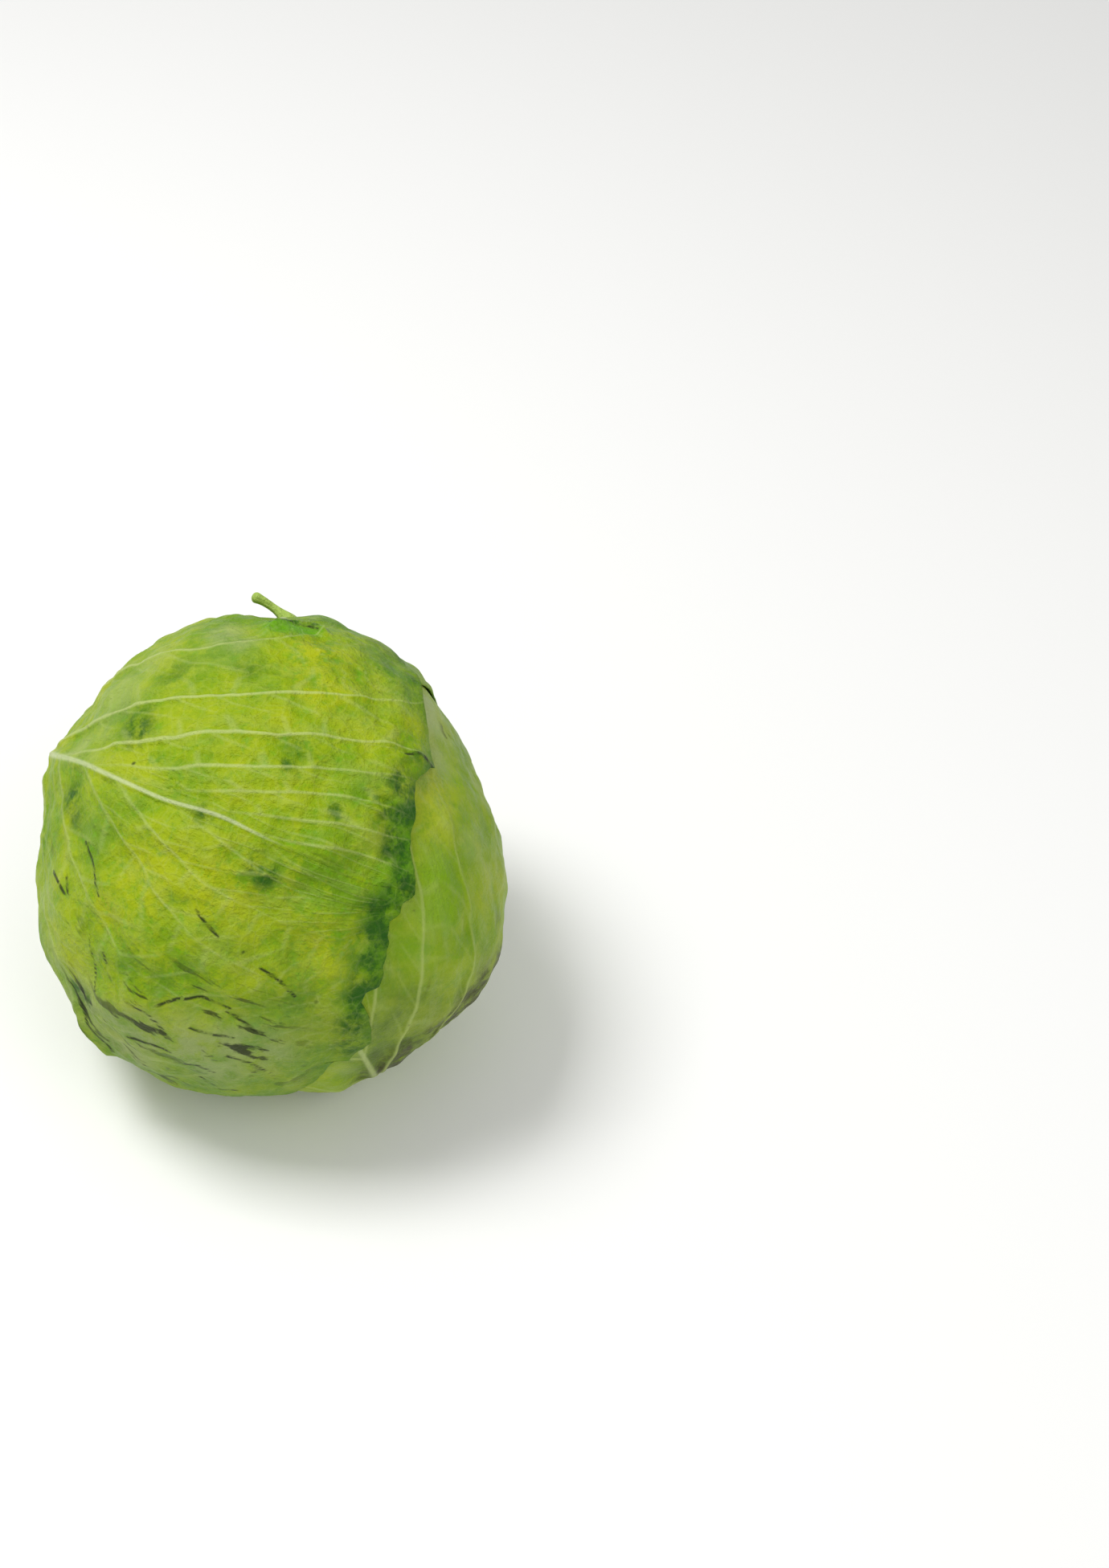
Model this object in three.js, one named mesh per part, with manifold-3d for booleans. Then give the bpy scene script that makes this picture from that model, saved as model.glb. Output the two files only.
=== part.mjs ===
// A head of green cabbage with its outer wrapper leaves, as picked, lying on a surface.
//
// Millimetres and degrees. The head is shaped upright, with its crown at +Z and its cut
// stem at -Z, and the finished group is tilted to the way the head lies, so that the
// crown looks up and forward. Every surface is a radius over a direction from the middle
// of the head. A direction is named in one of two ways:
//   from the crown: bearing round the axis, arc down from the crown (0) to the stem (180)
//   on a leaf: along its midrib from the stem, and across from the midrib
// The leaves lie on each other in one order, so each rides on what the ones below it add.

import * as THREE from 'three';
import { mergeVertices } from 'three/addons/utils/BufferGeometryUtils.js';
import Module from 'manifold-3d';

const wasm = await Module();
wasm.setup();

// How the head lies
const CROWN_ELEVATION = 48;
const MIDDLE_HEIGHT = 74;

// The dense head under the wrapper leaves
const CROWN_HEIGHT = 77;
const STEM_DEPTH = 62;
const BLUNTNESS = 2.2;
const RIM_STEP = 30;
const RIM_RADII = [79, 75.5, 81.5, 83.5, 82.5, 77.5, 79, 83.5, 83.5, 81.5, 83, 86.5];
const HEART_DETAIL = 8;
const HEART_CLEARANCE = 0.4;
const FLAT_SOFTNESS = 6;
const FACES_FLOOR = 0.3; // cosine to straight down above which the floor can matter
const INNER_STALK_BEARINGS = [28, 120, 184, 252, 322];
const INNER_STALK_HEIGHT = 3;
const INNER_STALK_WIDTH = 7;
const INNER_STALK_START = 0.05;
const INNER_STALK_FULL = 0.3;
const HEART_COLOUR = 0xb9c98a;
const HEART_ROUGHNESS = 0.5;

// Wrapper leaves
const LEAF_THICKNESS = 1.1;
const MARGIN_THICKNESS = 0.75;
const MARGIN_THIN_BAND = 12;
const LEAF_GAP = 1.7;
const PITCH = LEAF_THICKNESS + LEAF_GAP;
const COVER_REACH = 4;
const COVER_FALL = 16;
const COVER_FULL_ARC = 60;
const COVER_TIGHTEST = 0.4;
const TYPICAL_RADIUS = 86;
const CENTRE_ALONG = 100;
const CHART_LIMIT = -0.95; // cosine to a leaf's centre below which nothing is inside it
const RIB_HALF_WIDTH = 2.6;
const RIB_WIDEST = 0.3; // share of the space between two ribs that half a rib may take
const RIB_HEIGHT = 1.4;
const RIB_ROOM = 16;
const RIB_CROWDED = 0.25; // share of that room at which a rib has sunk into the blade
const RIB_RISE = 0.12; // share of the way out over which a rib rises from the midrib
const RIB_FADE = 0.6;
const QUILT_HEIGHT = 1.1;
const QUILT_REACH = 1.2;
const MIDRIB_ALONG = [15, 60, 90, 120, 160, 210];
const MIDRIB_HEIGHTS = [5.5, 3.8, 1.6, 1.4, 1.0, 0.4];
const MIDRIB_HALF_WIDTHS = [9.5, 7, 5, 3.2, 2.4, 2];
const TENT_HEIGHTS = [1.6, 1.8, 1, 0.8, 0.4, 0];
const TENT_HALF_WIDTH = 20;
const PAST_TIP = 270; // place along a midrib past which it has ended
const WAVE_BAND = 11;
const WAVE_TURNS = 4.3;
const WAVE_START = 25;
const WAVE_FULL = 60;
const COLUMNS = [0, 0.04, 0.12, 0.22, 0.32, 0.42, 0.52, 0.62, 0.72, 0.82, 0.91, 1];
const ROW_SPACING = 14;
const SPACING_SHARES = [0.4, 0.7, 1];
const LEAF_ROUGHNESS = 0.45;

// The stub of the stem
const STEM_CONE = 13.8;
const STEM_TOP = 63;
const STEM_END = 78;
const STEM_EDGE_ROUND = 2.5;
const STEM_SIDES = 28;
const STEM_PITH_RADIUS = 6;
const STEM_PITH_DEPTH = 1.2;
const STEM_COLOUR = 0xd8d6b4;
const STEM_ROUGHNESS = 0.75;

// The torn stalk that stands off the top leaf: [bearing, arc, rise above the leaf]
const STALK_PATH = [
  [88, 86, -0.6], [88.8, 86, 3], [90.4, 85.5, 6], [92.3, 85, 8.6], [94.4, 84.5, 10.6],
];
const STALK_RADIUS = 1.9;
const STALK_KNOB_RADIUS = 2.2;
const STALK_SIDES = 10;
const STALK_STEPS = 12;

const DEGREE = Math.PI / 180;
const WELD_DISTANCE = 1e-4;

function fromCrown(bearing, arc) {
  const polar = arc * DEGREE;
  const turn = bearing * DEGREE;
  const flat = Math.sin(polar);
  return new THREE.Vector3(flat * Math.cos(turn), flat * Math.sin(turn), Math.cos(polar));
}

const DOWN = fromCrown(270, 90 + CROWN_ELEVATION);

function smoothStep(from, to, value) {
  return THREE.MathUtils.smoothstep(value, from, to);
}

function smoothMin(first, second, blend) {
  const near = Math.max(blend - Math.abs(first - second), 0) / blend;
  return Math.min(first, second) - near * near * blend / 4;
}

// Straight runs through listed values
function along(places, values, place) {
  if (place <= places[0]) {
    return values[0];
  }
  for (let i = 1; i < places.length; i += 1) {
    if (place <= places[i]) {
      const share = (place - places[i - 1]) / (places[i] - places[i - 1]);
      return values[i - 1] + (values[i] - values[i - 1]) * share;
    }
  }
  return values[values.length - 1];
}

// The four Catmull-Rom weights at a share of a span
function splineWeights(t) {
  return [
    (-t + 2 * t * t - t * t * t) / 2,
    (2 - 5 * t * t + 3 * t * t * t) / 2,
    (t + 4 * t * t - 3 * t * t * t) / 2,
    (-t * t + t * t * t) / 2,
  ];
}

function rimRadius(bearing) {
  const count = RIM_RADII.length;
  const place = ((bearing / DEGREE + 360) % 360) / RIM_STEP;
  const first = Math.floor(place);
  const weights = splineWeights(place - first);
  let radius = 0;
  for (let i = 0; i < 4; i += 1) {
    radius += weights[i] * RIM_RADII[(first - 1 + i + count) % count];
  }
  return radius;
}

// A smooth curve of directions through guide directions, at a place counted in guides
function guideDirection(guides, place) {
  const last = guides.length - 1;
  const first = Math.min(Math.floor(place), last - 1);
  const weights = splineWeights(place - first);
  const direction = new THREE.Vector3();
  for (let i = 0; i < 4; i += 1) {
    const index = THREE.MathUtils.clamp(first - 1 + i, 0, last);
    direction.addScaledVector(guides[index], weights[i]);
  }
  return direction.normalize();
}

// The outline of a leaf half: straight runs between its torn corners
function marginDirection(margin, place) {
  let i = 1;
  while (i < margin.length - 1 && place > margin[i].place) {
    i += 1;
  }
  const before = margin[i - 1];
  const after = margin[i];
  const share = THREE.MathUtils.clamp((place - before.place) / (after.place - before.place), 0, 1);
  return before.direction.clone().lerp(after.direction, share).normalize();
}

// A frame for a leaf: out of the stem, across, and towards the crown
function leafFrame(bearing, lean) {
  const outward = fromCrown(bearing, 90);
  const flatSide = fromCrown(bearing + 90, 90);
  const crown = new THREE.Vector3(0, 0, 1);
  const side = flatSide.clone().multiplyScalar(Math.cos(lean * DEGREE));
  side.addScaledVector(crown, Math.sin(lean * DEGREE));
  const up = crown.clone().multiplyScalar(Math.cos(lean * DEGREE));
  up.addScaledVector(flatSide, -Math.sin(lean * DEGREE));
  return { outward, side, up };
}

function onLeaf(frame, alongMidrib, across) {
  const a = alongMidrib * DEGREE;
  const b = across * DEGREE;
  const direction = frame.up.clone().multiplyScalar(-Math.cos(a) * Math.cos(b));
  direction.addScaledVector(frame.outward, Math.sin(a) * Math.cos(b));
  return direction.addScaledVector(frame.side, Math.sin(b));
}

// The ribs of a leaf start along its midrib, in pairs. Each rib of a half then passes two
// [along, across] places, a third and two thirds of the way out, and ends at the margin.
// The last start is the tip, which both halves share. A margin is a list of corners,
// [rib count, bearing, arc], or [rib count, along, across] for a hiddenMargin.
const HIDDEN_STARTS = [15, 28, 44, 62, 82, 102, 122, 142];
const HIDDEN_RIBS = [
  [[16, 3.5], [17, 7]],
  [[33, 13], [37, 25]],
  [[52, 20], [57, 38]],
  [[73, 24], [80, 46]],
  [[95, 22], [105, 43]],
  [[116, 16], [127, 31]],
  [[134, 9], [144, 18]],
];
const HIDDEN_MARGIN = [
  [0, 17.5, 10], [1, 40, 37], [2, 60, 56], [3, 84, 66],
  [4, 112, 62], [5, 136, 46], [6, 153, 27], [7, 164, 0],
];
const HIDDEN_TIP = [[150, 0], [157, 0]];

const LEAVES = [
  {
    name: 'wrapper_leaf_right',
    hasFeet: false,
    colour: 0x8fae4a,
    bearing: 352,
    lean: -3,
    wave: 2.5,
    starts: HIDDEN_STARTS,
    tip: HIDDEN_TIP,
    halves: [
      {
        turn: 1,
        ribs: HIDDEN_RIBS,
        hiddenMargin: [
          [0, 17.5, 10], [1, 39, 36], [2, 58, 52], [3, 82, 58],
          [4, 107, 53], [5, 131, 41], [6, 150, 24], [7, 164, 0],
        ],
      },
      { turn: -1, ribs: HIDDEN_RIBS, hiddenMargin: HIDDEN_MARGIN },
    ],
  },
  {
    name: 'wrapper_leaf_lower_left',
    hasFeet: false,
    colour: 0x9db550,
    bearing: 217,
    lean: 2,
    wave: 2.5,
    starts: HIDDEN_STARTS,
    tip: HIDDEN_TIP,
    halves: [
      { turn: 1, ribs: HIDDEN_RIBS, hiddenMargin: HIDDEN_MARGIN },
      { turn: -1, ribs: HIDDEN_RIBS, hiddenMargin: HIDDEN_MARGIN },
    ],
  },
  {
    name: 'wrapper_leaf_pale',
    hasFeet: true,
    colour: 0xa8c069,
    bearing: 294,
    lean: 0,
    wave: 1.6,
    starts: [15, 29, 43, 58, 76, 96, 116, 137, 160],
    tip: [[176, 0], [192, 0]],
    halves: [
      {
        turn: 1,
        ribs: [
          [[16, 3.5], [17, 7]],
          [[35, 10], [34, 20]],
          [[54, 16], [56, 38]],
          [[75, 22], [90, 54]],
          [[116, 27], [166, 46]],
          [[132, 18], [171, 33]],
          [[143, 11], [172, 22]],
          [[155, 6], [178, 10]],
        ],
        margin: [
          [0, 322, 161], [1, 342, 141], [2, 8, 118], [3, 34, 98], [4, 60, 76],
          [5, 66, 50], [6, 74, 37], [7, 90, 31], [8, 114, 28],
        ],
      },
      {
        turn: -1,
        ribs: [
          [[16, 3.5], [17, 7]],
          [[33, 13], [36, 25]],
          [[49, 19], [52, 37]],
          [[67, 23], [72, 45]],
          [[88, 23], [96, 45]],
          [[110, 21], [121, 41]],
          [[131, 16], [143, 31]],
          [[152, 10], [165, 19]],
        ],
        hiddenMargin: [
          [0, 17.5, 10], [1, 39, 37], [2, 54, 55], [3, 76, 66], [4, 102, 66],
          [5, 131, 59], [6, 154, 45], [7, 178, 26], [8, 208, 0],
        ],
      },
    ],
  },
  {
    name: 'wrapper_leaf_top',
    hasFeet: false,
    colour: 0x93b24f,
    bearing: 88,
    lean: 0,
    wave: 1.8,
    starts: HIDDEN_STARTS,
    tip: [[154, 0], [167, 0]],
    halves: [
      {
        turn: 1,
        ribs: HIDDEN_RIBS,
        hiddenMargin: [
          [0, 17.5, 10], [1, 38, 38], [2, 54, 60], [3, 84, 72], [4, 118, 66],
          [5, 144, 50], [6, 164, 28], [7, 180, 0],
        ],
      },
      {
        turn: -1,
        ribs: [
          [[16, 3.5], [17, 7]],
          [[31, 10], [33, 19]],
          [[48, 17], [49, 33]],
          [[66, 22], [66, 43]],
          [[90, 15], [98, 29]],
          [[112, 13], [124, 25]],
          [[132, 9], [147, 18]],
        ],
        hiddenMargin: [
          [0, 17.5, 10], [1, 34, 28], [2, 46, 47], [3, 62, 60], [3.5, 84, 49], [4, 104, 42],
          [4.5, 117, 35], [5, 134, 34], [6, 160, 26], [7, 180, 0],
        ],
      },
    ],
  },
  {
    name: 'wrapper_leaf_front',
    hasFeet: true,
    colour: 0x86b02c,
    bearing: 156,
    lean: 2.5,
    wave: 1.4,
    starts: [15, 26, 42, 60, 80, 98, 114, 126, 138, 151, 172, 202],
    tip: [[206, -1], [210, -2]],
    halves: [
      {
        turn: 1,
        ribs: [
          [[16, 3.5], [17, 7]],
          [[30, 9], [32, 17]],
          [[45, 14], [46, 27]],
          [[62, 18], [64, 35]],
          [[86, 25], [94, 48]],
          [[115, 33], [146, 64]],
          [[138, 28], [176, 42]],
          [[150, 16], [182, 29]],
          [[158, 10], [184, 16]],
          [[172, 5], [192, 8]],
          [[187, 2.5], [201, 4]],
        ],
        margin: [
          [0, 189, 161], [1, 194, 142], [2, 205, 124], [3, 208, 108], [3.5, 213, 95],
          [4, 226, 84], [4.5, 248, 95], [5, 268, 88], [5.5, 284, 63], [6, 293, 57],
          [6.5, 300, 49], [7, 303, 41], [7.5, 313, 39], [8, 324, 34.5], [9, 331, 31.5],
          [10, 338, 33], [11, 344, 35],
        ],
      },
      {
        turn: -1,
        ribs: [
          [[16, 3.5], [17, 7]],
          [[30, 9], [31, 17]],
          [[46, 14], [47, 28]],
          [[66, 17], [70, 34]],
          [[107, 23], [143, 42]],
          [[134, 19], [170, 35]],
          [[150, 14.5], [180, 27.5]],
          [[158, 9.5], [183, 20]],
          [[167, 7], [189, 15.5]],
          [[176, 4.5], [194, 10]],
          [[188, 2.5], [201, 6]],
        ],
        margin: [
          [0, 126, 161], [1, 114, 143], [2, 106, 122], [3, 104, 104], [3.5, 93, 75],
          [4, 74, 77], [4.5, 60, 76], [5, 46, 58], [5.5, 38, 53], [6, 30, 49.5],
          [6.5, 28, 43], [7, 27, 39], [7.5, 23, 37], [8, 13, 35.5], [9, 6, 33.5],
          [10, 355, 34], [11, 344, 35],
        ],
      },
    ],
  },
];

// One half of a leaf: its guide directions and its margin
function makeHalf(frame, half, starts, tip) {
  const near = half.ribs.map(([place]) => onLeaf(frame, place[0], half.turn * place[1]));
  const far = half.ribs.map(([, place]) => onLeaf(frame, place[0], half.turn * place[1]));
  near.push(onLeaf(frame, ...tip[0]));
  far.push(onLeaf(frame, ...tip[1]));
  const margin = half.margin
    ? half.margin.map(([place, bearing, arc]) => ({ place, direction: fromCrown(bearing, arc) }))
    : half.hiddenMargin.map(([place, alongMidrib, across]) => (
      { place, direction: onLeaf(frame, alongMidrib, half.turn * across) }));
  return { turn: half.turn, starts, near, far, margin, count: half.ribs.length };
}

// The direction at a place counted in ribs, and a share of the way out to the margin
function bladeDirection(half, place, share) {
  const points = [
    guideDirection(half.starts, place),
    guideDirection(half.near, place),
    guideDirection(half.far, place),
    marginDirection(half.margin, place),
  ];
  const t = share * 3;
  const weights = [
    -(t - 1) * (t - 2) * (t - 3) / 6,
    t * (t - 2) * (t - 3) / 2,
    -t * (t - 1) * (t - 3) / 2,
    t * (t - 1) * (t - 2) / 6,
  ];
  const direction = new THREE.Vector3();
  points.forEach((point, index) => direction.addScaledVector(point, weights[index]));
  return direction.normalize();
}

// The foot of a rib on one side of its crest, at a share of the way out to the margin
function footPlace(half, rib, side, share, hasFeet) {
  if (!hasFeet) {
    return rib;
  }
  const here = bladeDirection(half, rib, share);
  const next = bladeDirection(half, rib + side, share);
  const spacing = here.distanceTo(next) * TYPICAL_RADIUS;
  return rib + side * Math.min(RIB_HALF_WIDTH / spacing, RIB_WIDEST);
}

// Rows of both halves: each rib's crest and feet, and enough rows in the swell between
function bladeRows(halves, hasFeet) {
  const rows = [];
  for (let rib = 0; rib < halves[0].count; rib += 1) {
    rows.push({ kind: 'crest', rib, part: 0 });
    if (hasFeet) {
      rows.push({ kind: 'foot', rib, side: 1, part: 0 });
    }
    const spacings = halves.flatMap((half) => SPACING_SHARES.map((share) => (
      bladeDirection(half, rib, share).distanceTo(bladeDirection(half, rib + 1, share)))));
    const widest = Math.max(...spacings) * TYPICAL_RADIUS;
    const swells = Math.max(1, Math.round(widest / ROW_SPACING) - 1);
    for (let i = 1; i <= swells; i += 1) {
      rows.push({ kind: 'swell', rib, part: i / (swells + 1) });
    }
    if (hasFeet) {
      rows.push({ kind: 'foot', rib: rib + 1, side: -1, part: 0 });
    }
  }
  rows.push({ kind: 'crest', rib: halves[0].count, part: 0 });
  return rows;
}

function rowPlace(half, row, share, hasFeet) {
  if (row.kind === 'crest') {
    return row.rib;
  }
  if (row.kind === 'foot') {
    return footPlace(half, row.rib, row.side, share, hasFeet);
  }
  const from = footPlace(half, row.rib, 1, share, hasFeet);
  const to = footPlace(half, row.rib + 1, -1, share, hasFeet);
  return from + (to - from) * row.part;
}

function halfOutline(half, rows, hasFeet) {
  return rows.map((row) => marginDirection(half.margin, rowPlace(half, row, 1, hasFeet)));
}

function makeLeaf(leaf, order) {
  const frame = leafFrame(leaf.bearing, leaf.lean);
  const starts = leaf.starts.map((place) => onLeaf(frame, place, 0));
  const halves = leaf.halves.map((half) => makeHalf(frame, half, starts, leaf.tip));
  const rows = bladeRows(halves, leaf.hasFeet);
  const sides = halves.map((half) => halfOutline(half, rows, leaf.hasFeet));
  const outline = [...sides[0], ...sides[1].reverse().slice(1)];
  const centre = onLeaf(frame, CENTRE_ALONG, 0);
  return { ...leaf, order, frame, halves, rows, outline, centre };
}

const leaves = LEAVES.map(makeLeaf);

// A flat chart of the sphere, seen from the point opposite a leaf's centre
function chart(leaf, direction) {
  const scale = 1 / (1 + direction.dot(leaf.centre));
  const forward = new THREE.Vector3().crossVectors(leaf.frame.side, leaf.centre);
  return [direction.dot(leaf.frame.side) * scale, direction.dot(forward) * scale];
}

function insideOutline(leaf, direction) {
  if (direction.dot(leaf.centre) < CHART_LIMIT) {
    return false;
  }
  const [x, y] = chart(leaf, direction);
  let inside = false;
  for (let i = 0; i < leaf.chartOutline.length; i += 1) {
    const [ax, ay] = leaf.chartOutline[i];
    const [bx, by] = leaf.chartOutline[(i + 1) % leaf.chartOutline.length];
    if ((ay > y) !== (by > y) && x < (bx - ax) * (y - ay) / (by - ay) + ax) {
      inside = !inside;
    }
  }
  return inside;
}

leaves.forEach((leaf) => {
  leaf.chartOutline = leaf.outline.map((point) => chart(leaf, point));
});

const spanLine = new THREE.Line3();
const nearest = new THREE.Vector3();

// Distance in millimetres from a direction to a leaf's margin, below zero inside it. The
// cut end of the stalk is no margin.
function outlineDistance(leaf, direction) {
  let smallest = Infinity;
  for (let i = 1; i < leaf.outline.length; i += 1) {
    spanLine.set(leaf.outline[i - 1], leaf.outline[i]);
    spanLine.closestPointToPoint(direction, true, nearest);
    smallest = Math.min(smallest, nearest.distanceToSquared(direction));
  }
  const distance = Math.sqrt(smallest) * TYPICAL_RADIUS;
  return insideOutline(leaf, direction) ? -distance : distance;
}

// How far a leaf's layer counts at a direction: 1 under it, falling to 0 past its margin,
// faster near the stem, where the stalks stand side by side
function cover(leaf, direction) {
  const fromStem = Math.acos(-direction.z) / DEGREE;
  const tight = THREE.MathUtils.clamp(fromStem / COVER_FULL_ARC, COVER_TIGHTEST, 1);
  const distance = outlineDistance(leaf, direction) / tight;
  return 1 - smoothStep(COVER_REACH, COVER_REACH + COVER_FALL, distance);
}

// Distance across from a leaf's midrib in millimetres, and the place along it in degrees
function midribPlace(leaf, direction) {
  const across = Math.asin(direction.dot(leaf.frame.side)) * TYPICAL_RADIUS;
  const out = direction.dot(leaf.frame.outward);
  const rise = -direction.dot(leaf.frame.up);
  return { across, along: (Math.atan2(out, rise) / DEGREE + 360) % 360 };
}

// The thick midrib lifts the blade off what it lies on
function tent(leaf, direction) {
  const place = midribPlace(leaf, direction);
  const height = along(MIDRIB_ALONG, TENT_HEIGHTS, place.along);
  return place.along > PAST_TIP ? 0 : height * Math.exp(-((place.across / TENT_HALF_WIDTH) ** 2));
}

function midrib(leaf, direction) {
  const place = midribPlace(leaf, direction);
  const width = along(MIDRIB_ALONG, MIDRIB_HALF_WIDTHS, place.along);
  const height = along(MIDRIB_ALONG, MIDRIB_HEIGHTS, place.along);
  return place.along > PAST_TIP ? 0 : height * Math.exp(-((place.across / width) ** 2));
}

// Everything that the layers below and above do at a direction
function layersAt(direction) {
  const covers = leaves.map((leaf) => cover(leaf, direction));
  const tents = leaves.map((leaf) => tent(leaf, direction));
  const layerCount = covers.reduce((sum, value) => sum + value, 0);
  const flat = Math.hypot(direction.x, direction.y);
  const rim = rimRadius(Math.atan2(direction.y, direction.x));
  const height = direction.z > 0 ? CROWN_HEIGHT : STEM_DEPTH;
  const sum = (flat / rim) ** BLUNTNESS + (Math.abs(direction.z) / height) ** BLUNTNESS;
  const down = direction.dot(DOWN);
  let packed = sum ** (-1 / BLUNTNESS);
  if (down > FACES_FLOOR) {
    packed = smoothMin(packed, (MIDDLE_HEIGHT - layerCount * PITCH) / down, FLAT_SOFTNESS);
  }
  return { covers, tents, packed, down };
}

// The surface that the head lies on, less the layers that are still to come
function restLimit(layers, order, depth) {
  if (layers.down <= FACES_FLOOR) {
    return Infinity;
  }
  let above = depth;
  for (let i = order + 1; i < leaves.length; i += 1) {
    above += layers.covers[i] * PITCH;
  }
  return (MIDDLE_HEIGHT - above) / layers.down;
}

function openness(layers, order) {
  return 1 - Math.max(0, ...layers.covers.slice(order + 1));
}

// Inner and outer radius of a leaf. raised holds what stands up from the blade.
function leafRadii(leaf, direction, raised) {
  const layers = layersAt(direction);
  const open = openness(layers, leaf.order);
  let inner = layers.packed + LEAF_GAP + layers.tents[leaf.order];
  for (let i = 0; i < leaf.order; i += 1) {
    inner += layers.covers[i] * (PITCH + layers.tents[i]);
  }
  const toMargin = Math.max(-outlineDistance(leaf, direction), 0);
  const thin = smoothStep(0, MARGIN_THIN_BAND, toMargin);
  const thickness = MARGIN_THICKNESS + (LEAF_THICKNESS - MARGIN_THICKNESS) * thin;
  const fromStem = smoothStep(WAVE_START, WAVE_FULL, midribPlace(leaf, direction).along);
  const lift = leaf.wave * fromStem * Math.exp(-((toMargin / WAVE_BAND) ** 2));
  inner += open * lift * raised.wave;
  inner = Math.min(inner, restLimit(layers, leaf.order, LEAF_THICKNESS));
  const extra = open * (raised.rib + raised.quilt + midrib(leaf, direction));
  const outer = inner + thickness + extra * thin;
  return { inner, outer: Math.min(outer, restLimit(layers, leaf.order, 0)) };
}

// How a row stands up at a share of the way out: ribs rise from the midrib and fade towards
// the margin, the blade between them swells, and both are low where two ribs run close
function rowRaised(half, row, share) {
  const wave = 0.5 + 0.5 * Math.sin((row.rib + row.part) * WAVE_TURNS);
  const here = Math.min(row.rib, half.count - 1);
  const crest = bladeDirection(half, here, share);
  const room = crest.distanceTo(bladeDirection(half, here + 1, share)) * TYPICAL_RADIUS;
  const apart = smoothStep(RIB_CROWDED, 1, room / RIB_ROOM);
  const isRib = row.kind === 'crest' && row.rib > 0 && row.rib < half.count;
  const profile = smoothStep(0, RIB_RISE, share) * (1 - share) ** RIB_FADE;
  const rib = isRib ? RIB_HEIGHT * apart * profile : 0;
  const reach = Math.min(share * QUILT_REACH, 1);
  const swell = apart * Math.sin(Math.PI * row.part) * Math.sin(Math.PI * reach);
  return { rib, quilt: QUILT_HEIGHT * swell, wave };
}

function leafGeometry(leaf) {
  const positions = [];
  const triangles = [];
  const vertices = new Map();
  const { rows } = leaf;
  const lastColumn = COLUMNS.length - 1;

  // Both halves share the midrib and the tip row
  function vertexAt(side, rowIndex, column) {
    const isShared = column === 0 || rowIndex === rows.length - 1;
    const key = `${isShared ? 'both' : side}/${rowIndex}/${column}`;
    if (!vertices.has(key)) {
      const half = leaf.halves[side];
      const row = rows[rowIndex];
      const share = COLUMNS[column];
      const place = rowPlace(half, row, share, leaf.hasFeet);
      const direction = bladeDirection(half, place, share);
      const radii = leafRadii(leaf, direction, rowRaised(half, row, share));
      const first = positions.length / 3;
      positions.push(...direction.clone().multiplyScalar(radii.outer).toArray());
      positions.push(...direction.clone().multiplyScalar(radii.inner).toArray());
      vertices.set(key, { outer: first, inner: first + 1 });
    }
    return vertices.get(key);
  }

  // A triangle of the blade, alike on both faces
  function addBlade(a, b, c, turn) {
    const [first, second, third] = turn > 0 ? [a, b, c] : [a, c, b];
    triangles.push(first.outer, second.outer, third.outer);
    triangles.push(first.inner, third.inner, second.inner);
  }

  function addEdge(a, b, turn) {
    const [from, to] = turn > 0 ? [a, b] : [b, a];
    triangles.push(from.outer, from.inner, to.inner);
    triangles.push(from.outer, to.inner, to.outer);
  }

  leaf.halves.forEach((half, side) => {
    for (let i = 0; i + 1 < rows.length; i += 1) {
      for (let j = 0; j < lastColumn; j += 1) {
        const a = vertexAt(side, i, j);
        const b = vertexAt(side, i, j + 1);
        const c = vertexAt(side, i + 1, j + 1);
        const d = vertexAt(side, i + 1, j);
        if ((i + j) % 2 === 0) {
          addBlade(a, b, c, half.turn);
          addBlade(a, c, d, half.turn);
        } else {
          addBlade(a, b, d, half.turn);
          addBlade(b, c, d, half.turn);
        }
      }
      addEdge(vertexAt(side, i, lastColumn), vertexAt(side, i + 1, lastColumn), half.turn);
    }
    for (let j = 0; j < lastColumn; j += 1) {
      addEdge(vertexAt(side, 0, j), vertexAt(side, 0, j + 1), half.turn);
    }
  });

  const geometry = new THREE.BufferGeometry();
  geometry.setAttribute('position', new THREE.Float32BufferAttribute(positions, 3));
  geometry.setIndex(triangles);
  return geometry;
}

// The dense inner head, with the stalks of its own leaves showing between the wrappers
function heartGeometry() {
  const sphere = new THREE.IcosahedronGeometry(1, HEART_DETAIL);
  sphere.deleteAttribute('normal');
  sphere.deleteAttribute('uv');
  const geometry = mergeVertices(sphere);
  const position = geometry.getAttribute('position');
  for (let i = 0; i < position.count; i += 1) {
    const direction = new THREE.Vector3().fromBufferAttribute(position, i).normalize();
    const layers = layersAt(direction);
    const stalks = INNER_STALK_BEARINGS.map((bearing) => {
      const frame = leafFrame(bearing, 0);
      const across = direction.dot(frame.side) * TYPICAL_RADIUS;
      const reach = direction.dot(frame.outward);
      const outward = smoothStep(INNER_STALK_START, INNER_STALK_FULL, reach);
      return outward * INNER_STALK_HEIGHT * Math.exp(-((across / INNER_STALK_WIDTH) ** 2));
    });
    const radius = layers.packed - HEART_CLEARANCE + openness(layers, -1) * Math.max(...stalks);
    position.setXYZ(i, ...direction.multiplyScalar(radius).toArray());
  }
  return geometry;
}

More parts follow.
